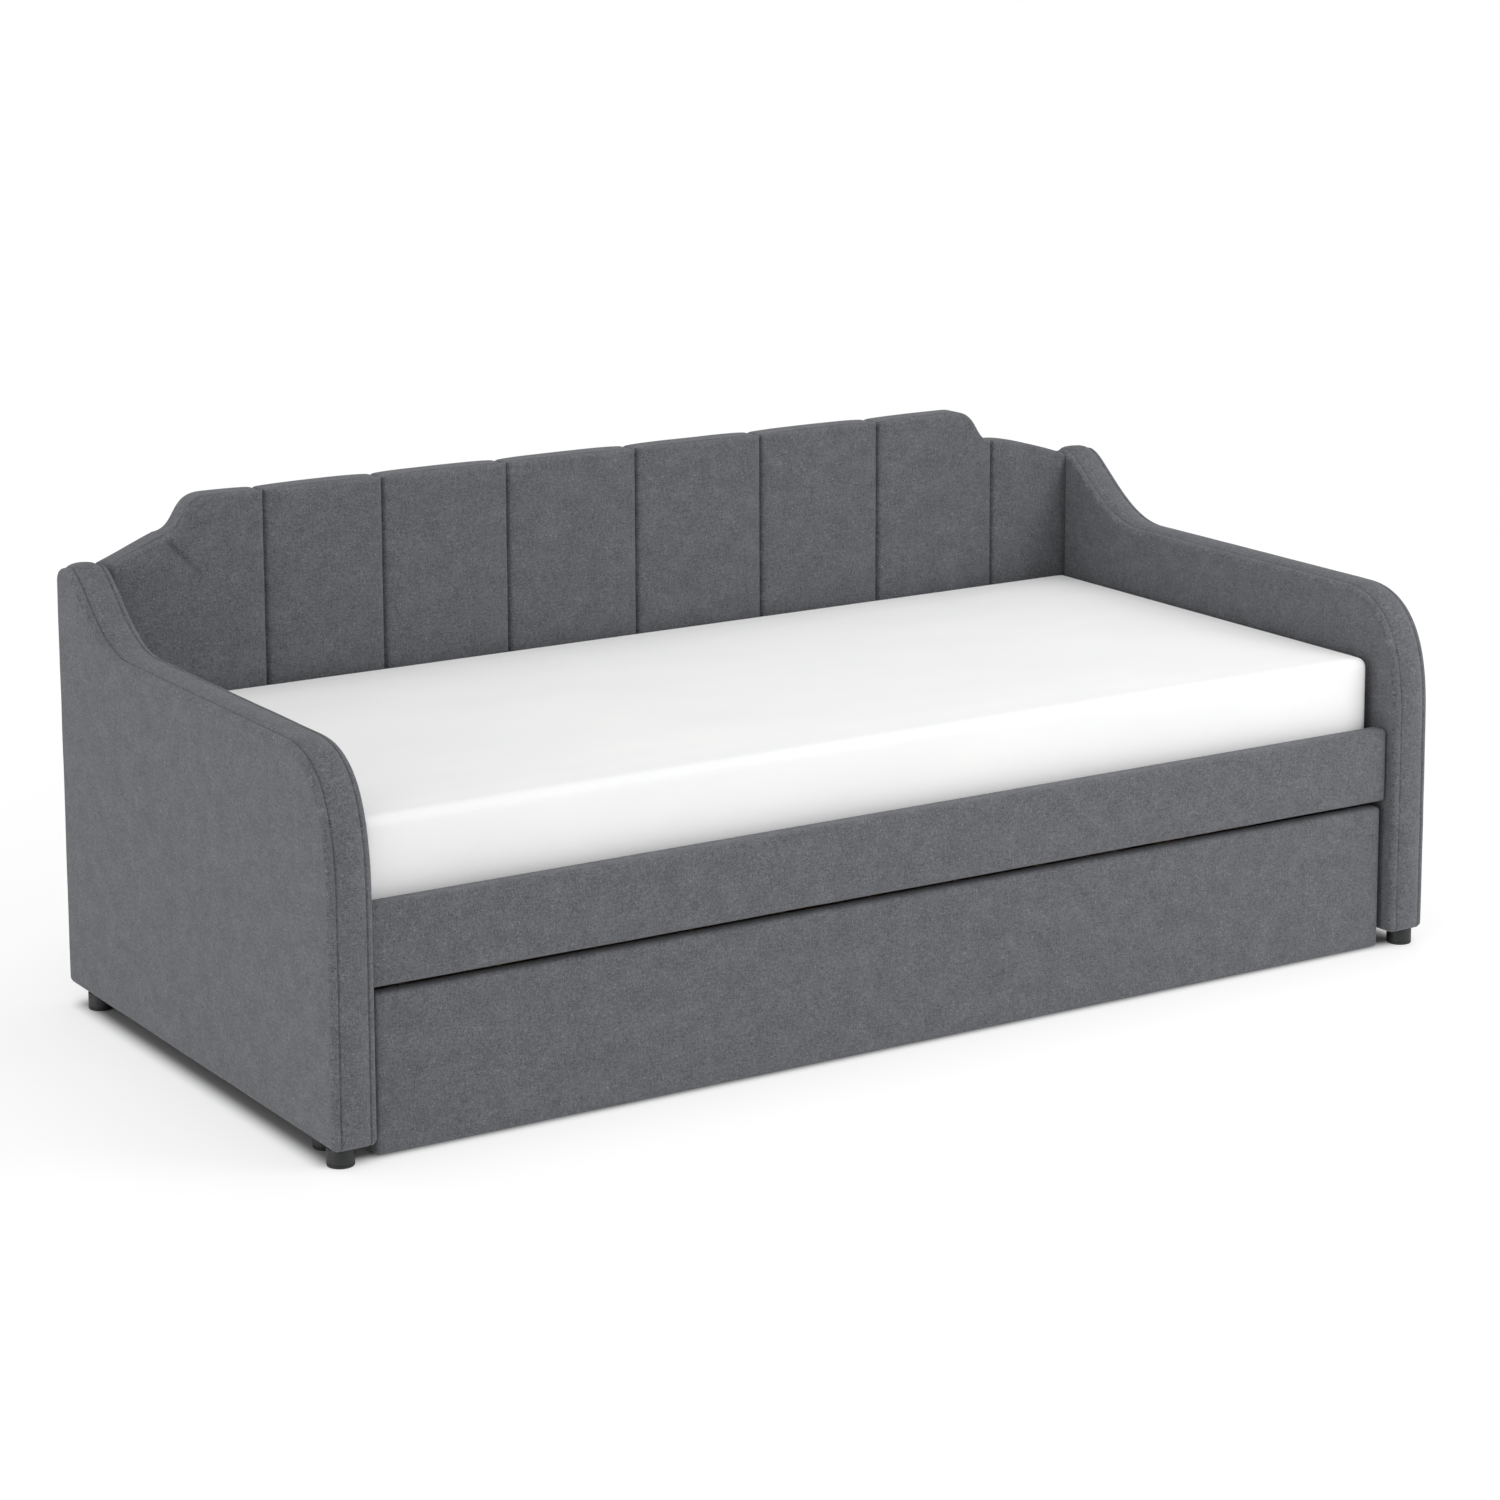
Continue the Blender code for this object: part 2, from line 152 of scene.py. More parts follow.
def woven_upholstery():
    """Heathered polyester weave: a plain weave of slubby grey yarns, matt, with a short soft nap."""
    material, tree, shader = new_surface(
        "woven_heather_polyester",
        Roughness=0.92,
        IOR=1.45,
        Specular_IOR_Level=0.28,
        Sheen_Weight=0.22,
        Sheen_Roughness=0.55,
        Sheen_Tint=linear("#BDBEC0"),
    )
    cloth = add(tree, "ShaderNodeUVMap", uv_map="cloth").outputs["UV"]
    yarn = add(tree, "ShaderNodeVectorMath", {0: cloth, "Scale": 1000.0}, operation="SCALE")
    mm = yarn.outputs["Vector"]
    # Slubs about 10 mm long and 2 mm wide, in both directions of the weave
    streaks = []
    for stretch in ((1 / 10.0, 1 / 2.2, 1.0), (1 / 2.2, 1 / 10.0, 1.0)):
        run = add(tree, "ShaderNodeMapping", {"Vector": mm, "Scale": stretch})
        streaks.append(
            add(
                tree,
                "ShaderNodeTexNoise",
                {
                    "Vector": run.outputs["Vector"],
                    "Scale": 1.0,
                    "Detail": 2.0,
                    "Roughness": 0.6,
                    "Distortion": 1.5,
                },
                noise_dimensions="2D",
            ).outputs["Fac"]
        )
    slubs = add(tree, "ShaderNodeMix", {"Factor": 0.5, "A": streaks[0], "B": streaks[1]})
    curls = add(
        tree,
        "ShaderNodeTexNoise",
        {"Vector": mm, "Scale": 1 / 3.4, "Detail": 2.0, "Roughness": 0.65, "Distortion": 2.8},
        noise_dimensions="2D",
    )
    patches = add(
        tree,
        "ShaderNodeTexNoise",
        {"Vector": mm, "Scale": 1 / 42.0, "Detail": 3.0, "Roughness": 0.55},
        noise_dimensions="2D",
    )
    mixed = add(
        tree,
        "ShaderNodeMix",
        {"Factor": 0.42, "A": slubs.outputs["Result"], "B": curls.outputs["Fac"]},
    )
    heather = add(
        tree,
        "ShaderNodeMix",
        {"Factor": 0.10, "A": mixed.outputs["Result"], "B": patches.outputs["Fac"]},
    )
    tone = add(
        tree,
        "ShaderNodeValToRGB",
        {"Fac": heather.outputs["Result"]},
        stops=[
            (0.36, linear("#414245")),
            (0.46, linear("#545558")),
            (0.54, linear("#646569")),
            (0.66, linear("#808286")),
        ],
    )
    # A few pale and a few dark loose fibres, 3 mm long
    flecks = add(
        tree,
        "ShaderNodeTexNoise",
        {"Vector": mm, "Scale": 1 / 2.6, "Detail": 1.0, "Distortion": 1.2},
        noise_dimensions="2D",
    )
    pale = add(
        tree,
        "ShaderNodeMapRange",
        {"Value": flecks.outputs["Fac"], "From Min": 0.70, "From Max": 0.80, "To Max": 0.55},
    )
    # Pale curled fibres: thin lines where a twisted noise passes its middle value
    twisted = add(
        tree,
        "ShaderNodeTexNoise",
        {"Vector": mm, "Scale": 1 / 7.0, "Detail": 1.0, "Distortion": 3.2},
        noise_dimensions="2D",
    )
    off = add(tree, "ShaderNodeMath", {0: twisted.outputs["Fac"], 1: 0.5}, operation="SUBTRACT")
    near = add(tree, "ShaderNodeMath", {0: off.outputs["Value"]}, operation="ABSOLUTE")
    curl = add(
        tree,
        "ShaderNodeMapRange",
        {"Value": near.outputs["Value"], "From Max": 0.05, "To Min": 0.45, "To Max": 0.0},
    )
    some = add(
        tree,
        "ShaderNodeMapRange",
        {"Value": flecks.outputs["Fac"], "From Min": 0.44, "From Max": 0.60},
    )
    curled = add(
        tree,
        "ShaderNodeMath",
        {0: curl.outputs["Result"], 1: some.outputs["Result"]},
        operation="MULTIPLY",
    )
    paler = add(
        tree,
        "ShaderNodeMath",
        {0: pale.outputs["Result"], 1: curled.outputs["Value"]},
        operation="MAXIMUM",
    )
    dark = add(
        tree,
        "ShaderNodeMapRange",
        {"Value": flecks.outputs["Fac"], "From Min": 0.30, "From Max": 0.22, "To Max": 0.50},
    )
    with_pale = add(
        tree,
        "ShaderNodeMix",
        {0: paler.outputs["Value"], 6: tone.outputs["Color"], 7: linear("#9A9C9F")},
        data_type="RGBA",
    )
    with_dark = add(
        tree,
        "ShaderNodeMix",
        {0: dark.outputs["Result"], 6: with_pale.outputs[2], 7: linear("#36383B")},
        data_type="RGBA",
    )
    # The weave itself, drawn 1.6 mm apart: the real yarns are nearer 0.8 mm, too fine to show
    warp, weft = (
        add(
            tree,
            "ShaderNodeTexWave",
            {"Vector": mm, "Scale": 0.314 / 1.6, "Distortion": 0.6, "Detail": 1.0},
            bands_direction=way,
        ).outputs["Fac"]
        for way in ("X", "Y")
    )
    over = add(tree, "ShaderNodeTexChecker", {"Vector": mm, "Scale": 1 / 1.6})
    weave = add(tree, "ShaderNodeMix", {"Factor": over.outputs["Fac"], "A": warp, "B": weft})
    relief = add(
        tree,
        "ShaderNodeMix",
        {"Factor": 0.5, "A": weave.outputs["Result"], "B": mixed.outputs["Result"]},
    )
    shaded = add(
        tree,
        "ShaderNodeMapRange",
        {"Value": weave.outputs["Result"], "To Min": 0.88, "To Max": 1.06},
    )
    coloured = add(
        tree,
        "ShaderNodeMix",
        {0: 1.0, 6: with_dark.outputs[2], 7: shaded.outputs["Result"]},
        data_type="RGBA",
        blend_type="MULTIPLY",
    )
    rough = add(
        tree,
        "ShaderNodeMapRange",
        {"Value": curls.outputs["Fac"], "To Min": 0.84, "To Max": 1.0},
    )
    bump = add(
        tree,
        "ShaderNodeBump",
        {"Strength": 0.55, "Distance": 0.5 * MM, "Height": relief.outputs["Result"]},
    )
    tree.links.new(coloured.outputs[2], shader.inputs["Base Color"])
    tree.links.new(rough.outputs["Result"], shader.inputs["Roughness"])
    tree.links.new(bump.outputs["Normal"], shader.inputs["Normal"])
    return material


def knitted_cover():
    """White polyester jersey over foam: soft, matt, with small close loops and faint pull marks."""
    material, tree, shader = new_surface(
        "white_jersey_knit",
        Roughness=0.88,
        IOR=1.45,
        Specular_IOR_Level=0.25,
        Sheen_Weight=0.2,
        Sheen_Roughness=0.5,
        Sheen_Tint=linear("#FFFFFF"),
    )
    place = add(tree, "ShaderNodeTexCoord").outputs["Object"]
    # Knit loops drawn 2.4 mm apart, a little coarser than real ones
    loops = add(
        tree,
        "ShaderNodeTexVoronoi",
        {"Vector": place, "Scale": 1 / (2.4 * MM), "Randomness": 0.35},
        feature="SMOOTH_F1",
    )
    pull = add(tree, "ShaderNodeMapping", {"Vector": place, "Scale": (4.0, 7.0, 7.0)})
    waves = add(
        tree,
        "ShaderNodeTexNoise",
        {"Vector": pull.outputs["Vector"], "Scale": 1.0, "Detail": 3.0, "Roughness": 0.5},
    )
    tone = add(
        tree,
        "ShaderNodeValToRGB",
        {"Fac": waves.outputs["Fac"]},
        stops=[(0.25, linear("#F2F2F3")), (0.75, linear("#F6F6F5"))],
    )
    loop_shade = add(
        tree,
        "ShaderNodeMapRange",
        {"Value": loops.outputs["Distance"], "From Max": 0.7, "To Min": 1.0, "To Max": 0.955},
    )
    coloured = add(
        tree,
        "ShaderNodeMix",
        {0: 1.0, 6: tone.outputs["Color"], 7: loop_shade.outputs["Result"]},
        data_type="RGBA",
        blend_type="MULTIPLY",
    )
    soft = add(
        tree,
        "ShaderNodeBump",
        {"Strength": 0.10, "Distance": 3.0 * MM, "Height": waves.outputs["Fac"]},
    )
    knit = add(
        tree,
        "ShaderNodeBump",
        {
            "Strength": 0.3,
            "Distance": 0.3 * MM,
            "Height": loops.outputs["Distance"],
            "Normal": soft.outputs["Normal"],
        },
        invert=True,
    )
    rough = add(
        tree,
        "ShaderNodeMapRange",
        {"Value": loops.outputs["Distance"], "To Min": 0.82, "To Max": 0.95},
    )
    tree.links.new(coloured.outputs[2], shader.inputs["Base Color"])
    tree.links.new(rough.outputs["Result"], shader.inputs["Roughness"])
    tree.links.new(knit.outputs["Normal"], shader.inputs["Normal"])
    return material


def planed_pine(name, along):
    """Planed pine: pale sapwood with darker year lines along the board and small brown knots."""
    material, tree, shader = new_surface(name, IOR=1.5, Specular_IOR_Level=0.35)
    place = add(tree, "ShaderNodeTexCoord").outputs["Object"]
    run = {"X": (1.3, 26.0, 26.0), "Y": (26.0, 1.3, 26.0)}[along]
    fine = {"X": (9.0, 900.0, 900.0), "Y": (900.0, 9.0, 900.0)}[along]
    grown = add(tree, "ShaderNodeMapping", {"Vector": place, "Scale": run})
    swirl = add(
        tree,
        "ShaderNodeTexNoise",
        {"Vector": grown.outputs["Vector"], "Scale": 1.0, "Detail": 2.0, "Distortion": 0.5},
    )
    # Year lines about 3 mm apart
    rings = add(
        tree,
        "ShaderNodeMath",
        {0: swirl.outputs["Fac"], 1: 46.0},
        operation="MULTIPLY",
    )
    lines = add(tree, "ShaderNodeMath", {0: rings.outputs["Value"]}, operation="SINE")
    fibre_run = add(tree, "ShaderNodeMapping", {"Vector": place, "Scale": fine})
    fibres = add(
        tree,
        "ShaderNodeTexNoise",
        {"Vector": fibre_run.outputs["Vector"], "Scale": 1.0, "Detail": 2.0},
    )
    tone = add(
        tree,
        "ShaderNodeValToRGB",
        {"Fac": add(tree, "ShaderNodeMapRange", {0: lines.outputs["Value"], 1: -1.0}).outputs[0]},
        stops=[
            (0.0, linear("#E2C493")),
            (0.62, linear("#DDB980")),
            (0.90, linear("#D0A569")),
            (1.0, linear("#C6985B")),
        ],
    )
    fibre_shade = add(
        tree,
        "ShaderNodeMapRange",
        {"Value": fibres.outputs["Fac"], "To Min": 0.82, "To Max": 1.12},
    )
    fibred = add(
        tree,
        "ShaderNodeMix",
        {0: 1.0, 6: tone.outputs["Color"], 7: fibre_shade.outputs["Result"]},
        data_type="RGBA",
        blend_type="MULTIPLY",
    )
    knot_run = add(
        tree,
        "ShaderNodeMapping",
        {"Vector": place, "Scale": {"X": (2.2, 5.0, 5.0), "Y": (5.0, 2.2, 5.0)}[along]},
    )
    knots = add(tree, "ShaderNodeTexVoronoi", {"Vector": knot_run.outputs["Vector"], "Scale": 1.0})
    knot = add(
        tree,
        "ShaderNodeMapRange",
        {"Value": knots.outputs["Distance"], "From Min": 0.085, "From Max": 0.03, "To Max": 0.8},
    )
    knotted = add(
        tree,
        "ShaderNodeMix",
        {0: knot.outputs["Result"], 6: fibred.outputs[2], 7: linear("#6B4322")},
        data_type="RGBA",
    )
    rough = add(
        tree,
        "ShaderNodeMapRange",
        {"Value": fibres.outputs["Fac"], "To Min": 0.48, "To Max": 0.72},
    )
    bump = add(
        tree,
        "ShaderNodeBump",
        {"Strength": 0.25, "Distance": 0.3 * MM, "Height": fibres.outputs["Fac"]},
    )
    tree.links.new(knotted.outputs[2], shader.inputs["Base Color"])
    tree.links.new(rough.outputs["Result"], shader.inputs["Roughness"])
    tree.links.new(bump.outputs["Normal"], shader.inputs["Normal"])
    return material


def glued_birch():
    """Slats of peeled birch veneers glued in layers: creamy, with fine flecks, and plies on the edges."""
    material, tree, shader = new_surface("layered_birch_veneer", IOR=1.5, Specular_IOR_Level=0.4)
    place = add(tree, "ShaderNodeTexCoord").outputs["Object"]
    figure_run = add(tree, "ShaderNodeMapping", {"Vector": place, "Scale": (34.0, 3.5, 34.0)})
    figure = add(
        tree,
        "ShaderNodeTexNoise",
        {"Vector": figure_run.outputs["Vector"], "Scale": 1.0, "Detail": 4.0, "Distortion": 0.8},
    )
    fleck_run = add(tree, "ShaderNodeMapping", {"Vector": place, "Scale": (1100.0, 120.0, 900.0)})
    flecks = add(
        tree,
        "ShaderNodeTexNoise",
        {"Vector": fleck_run.outputs["Vector"], "Scale": 1.0, "Detail": 1.0},
    )
    # Veneers 1.5 mm thick, seen as bands on the slat's edges
    plies = add(
        tree,
        "ShaderNodeTexWave",
        {"Vector": place, "Scale": 0.314 / (1.5 * MM)},
        bands_direction="Z",
    )
    tone = add(
        tree,
        "ShaderNodeValToRGB",
        {"Fac": figure.outputs["Fac"]},
        stops=[(0.3, linear("#E3CDA2")), (0.55, linear("#D9BE8E")), (0.75, linear("#CDAE7B"))],
    )
    marked = add(
        tree,
        "ShaderNodeMapRange",
        {"Value": flecks.outputs["Fac"], "From Min": 0.6, "From Max": 0.78, "To Max": 0.45},
    )
    flecked = add(
        tree,
        "ShaderNodeMix",
        {0: marked.outputs["Result"], 6: tone.outputs["Color"], 7: linear("#9E7A48")},
        data_type="RGBA",
    )
    ply_shade = add(
        tree,
        "ShaderNodeMapRange",
        {"Value": plies.outputs["Fac"], "To Min": 0.86, "To Max": 1.04},
    )
    coloured = add(
        tree,
        "ShaderNodeMix",
        {0: 1.0, 6: flecked.outputs[2], 7: ply_shade.outputs["Result"]},
        data_type="RGBA",
        blend_type="MULTIPLY",
    )
    rough = add(
        tree,
        "ShaderNodeMapRange",
        {"Value": figure.outputs["Fac"], "To Min": 0.40, "To Max": 0.58},
    )
    bump = add(
        tree,
        "ShaderNodeBump",
        {"Strength": 0.2, "Distance": 0.15 * MM, "Height": flecks.outputs["Fac"]},
    )
    tree.links.new(coloured.outputs[2], shader.inputs["Base Color"])
    tree.links.new(rough.outputs["Result"], shader.inputs["Roughness"])
    tree.links.new(bump.outputs["Normal"], shader.inputs["Normal"])
    return material


def moulded_plastic(name, light, dark, roughness, grain):
    """Moulded plastic: an even colour with a fine eroded grain, and scuffs that shine a little."""
    material, tree, shader = new_surface(name, IOR=1.5, Specular_IOR_Level=0.45)
    place = add(tree, "ShaderNodeTexCoord").outputs["Object"]
    pits = add(
        tree,
        "ShaderNodeTexNoise",
        {"Vector": place, "Scale": 1 / grain, "Detail": 2.0, "Roughness": 0.6},
    )
    scuff_run = add(tree, "ShaderNodeMapping", {"Vector": place, "Scale": (60.0, 60.0, 420.0)})
    scuffs = add(
        tree,
        "ShaderNodeTexNoise",
        {"Vector": scuff_run.outputs["Vector"], "Scale": 1.0, "Detail": 3.0, "Roughness": 0.7},
    )
    tone = add(
        tree,
        "ShaderNodeValToRGB",
        {"Fac": scuffs.outputs["Fac"]},
        stops=[(0.35, linear(dark)), (0.75, linear(light))],
    )
    rough = add(
        tree,
        "ShaderNodeMapRange",
        {
            "Value": scuffs.outputs["Fac"],
            "From Min": 0.3,
            "From Max": 0.7,
            "To Min": roughness + 0.08,
            "To Max": roughness - 0.08,
        },
    )
    bump = add(
        tree,
        "ShaderNodeBump",
        {"Strength": 0.3, "Distance": 0.12 * MM, "Height": pits.outputs["Fac"]},
    )
    tree.links.new(tone.outputs["Color"], shader.inputs["Base Color"])
    tree.links.new(rough.outputs["Result"], shader.inputs["Roughness"])
    tree.links.new(bump.outputs["Normal"], shader.inputs["Normal"])
    return material


def zinc_plated_steel():
    """Pressed steel with bright zinc: cool grey, cloudy in its shine, with faint rolling lines."""
    material, tree, shader = new_surface("zinc_plated_pressed_steel", Metallic=1.0)
    place = add(tree, "ShaderNodeTexCoord").outputs["Object"]
    clouds = add(
        tree,
        "ShaderNodeTexNoise",
        {"Vector": place, "Scale": 1 / (9 * MM), "Detail": 3.0, "Roughness": 0.6},
    )
    rolled_run = add(tree, "ShaderNodeMapping", {"Vector": place, "Scale": (90.0, 90.0, 2600.0)})
    rolled = add(
        tree,
        "ShaderNodeTexNoise",
        {"Vector": rolled_run.outputs["Vector"], "Scale": 1.0, "Detail": 2.0},
    )
    tone = add(
        tree,
        "ShaderNodeValToRGB",
        {"Fac": clouds.outputs["Fac"]},
        stops=[(0.3, linear("#A9ADB1")), (0.7, linear("#CDD0D2"))],
    )
    rough = add(
        tree,
        "ShaderNodeMapRange",
        {"Value": clouds.outputs["Fac"], "To Min": 0.24, "To Max": 0.46},
    )
    bump = add(
        tree,
        "ShaderNodeBump",
        {"Strength": 0.15, "Distance": 0.05 * MM, "Height": rolled.outputs["Fac"]},
    )
    tree.links.new(tone.outputs["Color"], shader.inputs["Base Color"])
    tree.links.new(rough.outputs["Result"], shader.inputs["Roughness"])
    tree.links.new(bump.outputs["Normal"], shader.inputs["Normal"])
    return material


def spun_lining():
    """Black spun-bonded lining: thin felted fibres with small pressed dimples, quite matt."""
    material, tree, shader = new_surface("black_spunbond_lining", IOR=1.45, Specular_IOR_Level=0.2)
    place = add(tree, "ShaderNodeTexCoord").outputs["Object"]
    fibres = add(
        tree,
        "ShaderNodeTexNoise",
        {"Vector": place, "Scale": 1 / (2.2 * MM), "Detail": 4.0, "Distortion": 2.0},
    )
    dimples = add(
        tree,
        "ShaderNodeTexVoronoi",
        {"Vector": place, "Scale": 1 / (3.0 * MM), "Randomness": 0.1},
    )
    tone = add(
        tree,
        "ShaderNodeValToRGB",
        {"Fac": fibres.outputs["Fac"]},
        stops=[(0.35, linear("#17181A")), (0.7, linear("#2E3033"))],
    )
    rough = add(
        tree,
        "ShaderNodeMapRange",
        {"Value": fibres.outputs["Fac"], "To Min": 0.8, "To Max": 0.98},
    )
    bump = add(
        tree,
        "ShaderNodeBump",
        {"Strength": 0.4, "Distance": 0.2 * MM, "Height": dimples.outputs["Distance"]},
    )
    tree.links.new(tone.outputs["Color"], shader.inputs["Base Color"])
    tree.links.new(rough.outputs["Result"], shader.inputs["Roughness"])
    tree.links.new(bump.outputs["Normal"], shader.inputs["Normal"])
    return material


def sewing_thread():
    """Twisted polyester thread, a shade darker than the cloth, with its twist as fine ridges."""
    material, tree, shader = new_surface("twisted_polyester_thread", IOR=1.5, Sheen_Weight=0.2)
    place = add(tree, "ShaderNodeTexCoord").outputs["Object"]
    twist = add(
        tree,
        "ShaderNodeTexWave",
        {"Vector": place, "Scale": 0.314 / (0.6 * MM), "Distortion": 0.5},
        bands_direction="DIAGONAL",
    )
    tone = add(
        tree,
        "ShaderNodeValToRGB",
        {"Fac": twist.outputs["Fac"]},
        stops=[(0.2, linear("#45484D")), (0.8, linear("#606369"))],
    )
    rough = add(
        tree,
        "ShaderNodeMapRange",
        {"Value": twist.outputs["Fac"], "To Min": 0.5, "To Max": 0.7},
    )
    bump = add(
        tree,
        "ShaderNodeBump",
        {"Strength": 0.3, "Distance": 0.1 * MM, "Height": twist.outputs["Fac"]},
    )
    tree.links.new(tone.outputs["Color"], shader.inputs["Base Color"])
    tree.links.new(rough.outputs["Result"], shader.inputs["Roughness"])
    tree.links.new(bump.outputs["Normal"], shader.inputs["Normal"])
    return material


def floor_with_painted_glow():
    """White studio floor of matt acrylic with a painted glow all round the bed and none under it, so the
    floor there shows painted shade.
    """
    material, tree, shader = new_surface(
        "white_acrylic_floor_painted_glow",
        Roughness=1.0,
        Specular_IOR_Level=0.0,
        Emission_Color=linear("#FDFDFD"),
    )
    place = add(tree, "ShaderNodeTexCoord").outputs["Object"]
    rolled = add(tree, "ShaderNodeTexNoise", {"Vector": place, "Scale": 2.0, "Detail": 2.0})
    tone = add(
        tree,
        "ShaderNodeValToRGB",
        {"Fac": rolled.outputs["Fac"]},
        stops=[(0.2, linear("#B0B0B0")), (0.8, linear("#B3B3B3"))],
    )
    # Distance from the bed's footprint: the painted glow is off inside it
    apart = add(tree, "ShaderNodeVectorMath", {0: place}, operation="ABSOLUTE")
    past = add(
        tree,
        "ShaderNodeVectorMath",
        {0: apart.outputs["Vector"], 1: GLOW_OFF_HALF_SIZE},
        operation="SUBTRACT",
    )
    outside = add(tree, "ShaderNodeVectorMath", {0: past.outputs["Vector"]}, operation="MAXIMUM")
    reach = add(
        tree, "ShaderNodeVectorMath", {0: outside.outputs["Vector"]}, operation="LENGTH"
    )
    # Painted glow: the floor emits light outside the bed's footprint and none inside it, fading in over 5
    # cm, which paints the shade under and beside the bed
    glow = add(
        tree,
        "ShaderNodeMapRange",
        {"Value": reach.outputs["Value"], "From Max": 0.05, "To Min": 0.0, "To Max": 0.60},
        interpolation_type="SMOOTHSTEP",
    )
    tree.links.new(tone.outputs["Color"], shader.inputs["Base Color"])
    tree.links.new(glow.outputs["Result"], shader.inputs["Emission Strength"])
    return material


# ------------------------------------------------------------------ lines and loops


def sweep(p0, p1, p2, p3, steps):
    """Points on a cubic curve from p0 to p3, leaving out p0."""
    t = np.linspace(0, 1, steps + 1)[1:, None]
    ends = [np.array(p, float) for p in (p0, p1, p2, p3)]
    weights = ((1 - t) ** 3, 3 * t * (1 - t) ** 2, 3 * t * t * (1 - t), t**3)
    return sum(w * p for w, p in zip(weights, ends))


def arc(centre, radius, start, end, steps=8):
    a = np.radians(np.linspace(start, end, steps + 1))[:, None]
    return np.array(centre) + radius * np.hstack([np.cos(a), np.sin(a)])


def resample(points, spacing):
    """A closed line with its points evenly spaced."""
    ring = np.vstack([points, points[:1]])
    run = np.concatenate([[0], np.cumsum(np.linalg.norm(np.diff(ring, axis=0), axis=1))])
    count = int(round(run[-1] / spacing))
    at = np.linspace(0, run[-1], count, endpoint=False)
    return np.stack([np.interp(at, run, ring[:, k]) for k in (0, 1)], axis=1)


def outward(loop):
    """Unit normals pointing out of a closed line that runs anticlockwise."""
    along = np.roll(loop, -1, axis=0) - np.roll(loop, 1, axis=0)
    along /= np.linalg.norm(along, axis=1, keepdims=True)
    return np.stack([along[:, 1], -along[:, 0]], axis=1)


def arm_outline():
    """The arm seen from its right side, as (y, z), anticlockwise from its front bottom corner."""
    low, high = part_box("left_arm")
    front, back, bottom = low.y, high.y, low.z
    r = ARM_CORNER
    nose_top = (front + ARM_NOSE_LENGTH, ARM_LOW - 0.002)
    step_start, step_end = (ARM_STEP_START, ARM_HIGH), (ARM_STEP_END, ARM_LOW)
    parts = [
        arc((front + r, bottom + r), r, 180, 270),
        arc((back - r, bottom + r), r, 270, 360),
        arc((back - ARM_CROWN, ARM_HIGH - 0.004 - ARM_CROWN), ARM_CROWN, 0, 82),
        [step_start],
        sweep(
            step_start,
            (ARM_STEP_START - 0.050, ARM_HIGH),
            (ARM_STEP_END + 0.125, ARM_LOW),
            step_end,
            30,
        ),
        [nose_top],
        sweep(
            nose_top,
            (front + 0.070, nose_top[1]),
            (front, ARM_NOSE_HEIGHT + 0.177),
            (front, ARM_NOSE_HEIGHT),
            30,
        ),
    ]
    return resample(np.vstack(parts), LOOP_SPACING)


def back_top_line():
    """The back's top edge as (x, z), from its left end to its right end."""
    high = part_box("back_panel")[1]
    halves = {}
    for side, crown in CROWN_ENDS.items():
        foot = (crown + STEP_LENGTH, SHOULDER_HEIGHT)
        slope = high.x - foot[0]
        start = (high.x, SHOULDER_END_HEIGHT)
        end_pull = (high.x - slope * 0.33, SHOULDER_PULLS[side][0])
        foot_pull = (high.x - slope * 0.73, SHOULDER_PULLS[side][1])
        shoulder = sweep(start, end_pull, foot_pull, foot, 30)
        lower_pull, upper_pull = (foot[0] - 0.046, 0.808), (crown + 0.060, 0.866)
        step = sweep(foot, lower_pull, upper_pull, (crown, high.z), 40)
        halves[side] = np.vstack([[start], shoulder, step])
    return np.vstack([halves["left"] * (-1, 1), halves["right"][::-1]])


# ------------------------------------------------------------------ meshes


def shell(name, loops, cloth, material):
    """A closed form through loops of points; cloth holds each loop corner's place on the fabric.

    The first and last loops lie folded on a line, where their doubles are merged.
    """
    count = len(loops[0])
    verts = np.vstack(loops)
    faces = []
    places = []
    for r in range(len(loops) - 1):
        here, there = cloth[r], cloth[r + 1]
        for i in range(count):
            j = (i + 1) % count
            faces.append((r * count + i, r * count + j, (r + 1) * count + j, (r + 1) * count + i))
            step = 0.0 if j else here[0][2]
            places.append(
                [
                    here[i][:2],
                    (here[j][0], here[j][1] + step),
                    (there[j][0], there[j][1] + step),
                    there[i][:2],
                ]
            )
    mesh = bpy.data.meshes.new(name)
    mesh.from_pydata(verts.tolist(), [], faces)
    layer = mesh.uv_layers.new(name="cloth")
    layer.data.foreach_set("uv", np.array(places, np.float32).ravel())
    shape = bmesh.new()
    shape.from_mesh(mesh)
    bmesh.ops.remove_doubles(shape, verts=shape.verts, dist=0.02 * MM)
    bmesh.ops.dissolve_degenerate(shape, dist=0.005 * MM, edges=shape.edges)
    bmesh.ops.recalc_face_normals(shape, faces=shape.faces)
    if shape.calc_volume(signed=True) < 0:
        bmesh.ops.reverse_faces(shape, faces=shape.faces)
    shape.to_mesh(mesh)
    shape.free()
    mesh.shade_smooth()
    mesh.materials.append(material)
    item = bpy.data.objects.new(name, mesh)
    bpy.context.scene.collection.objects.link(item)
    return item


def uneven(item, height, spacing, seed, share=None):
    """Lets a padded surface rise and fall a little, as foam under cloth does."""
    mesh = item.data
    offset = Vector((seed * 17.3, seed * 5.1, seed * 9.7))
    normals = [v.normal.copy() for v in mesh.vertices]
    for v, normal in zip(mesh.vertices, normals):
        part = 1.0 if share is None else share(v.co)
        if part:
            v.co += normal * (height * part * noise.fractal(v.co / spacing + offset, 1.0, 2.0, 2))
    mesh.update()


def box_places(points, pick):
    """Fabric places read straight from two of the three axes."""
    return [(p[pick[0]], p[pick[1]], 0.0) for p in points]


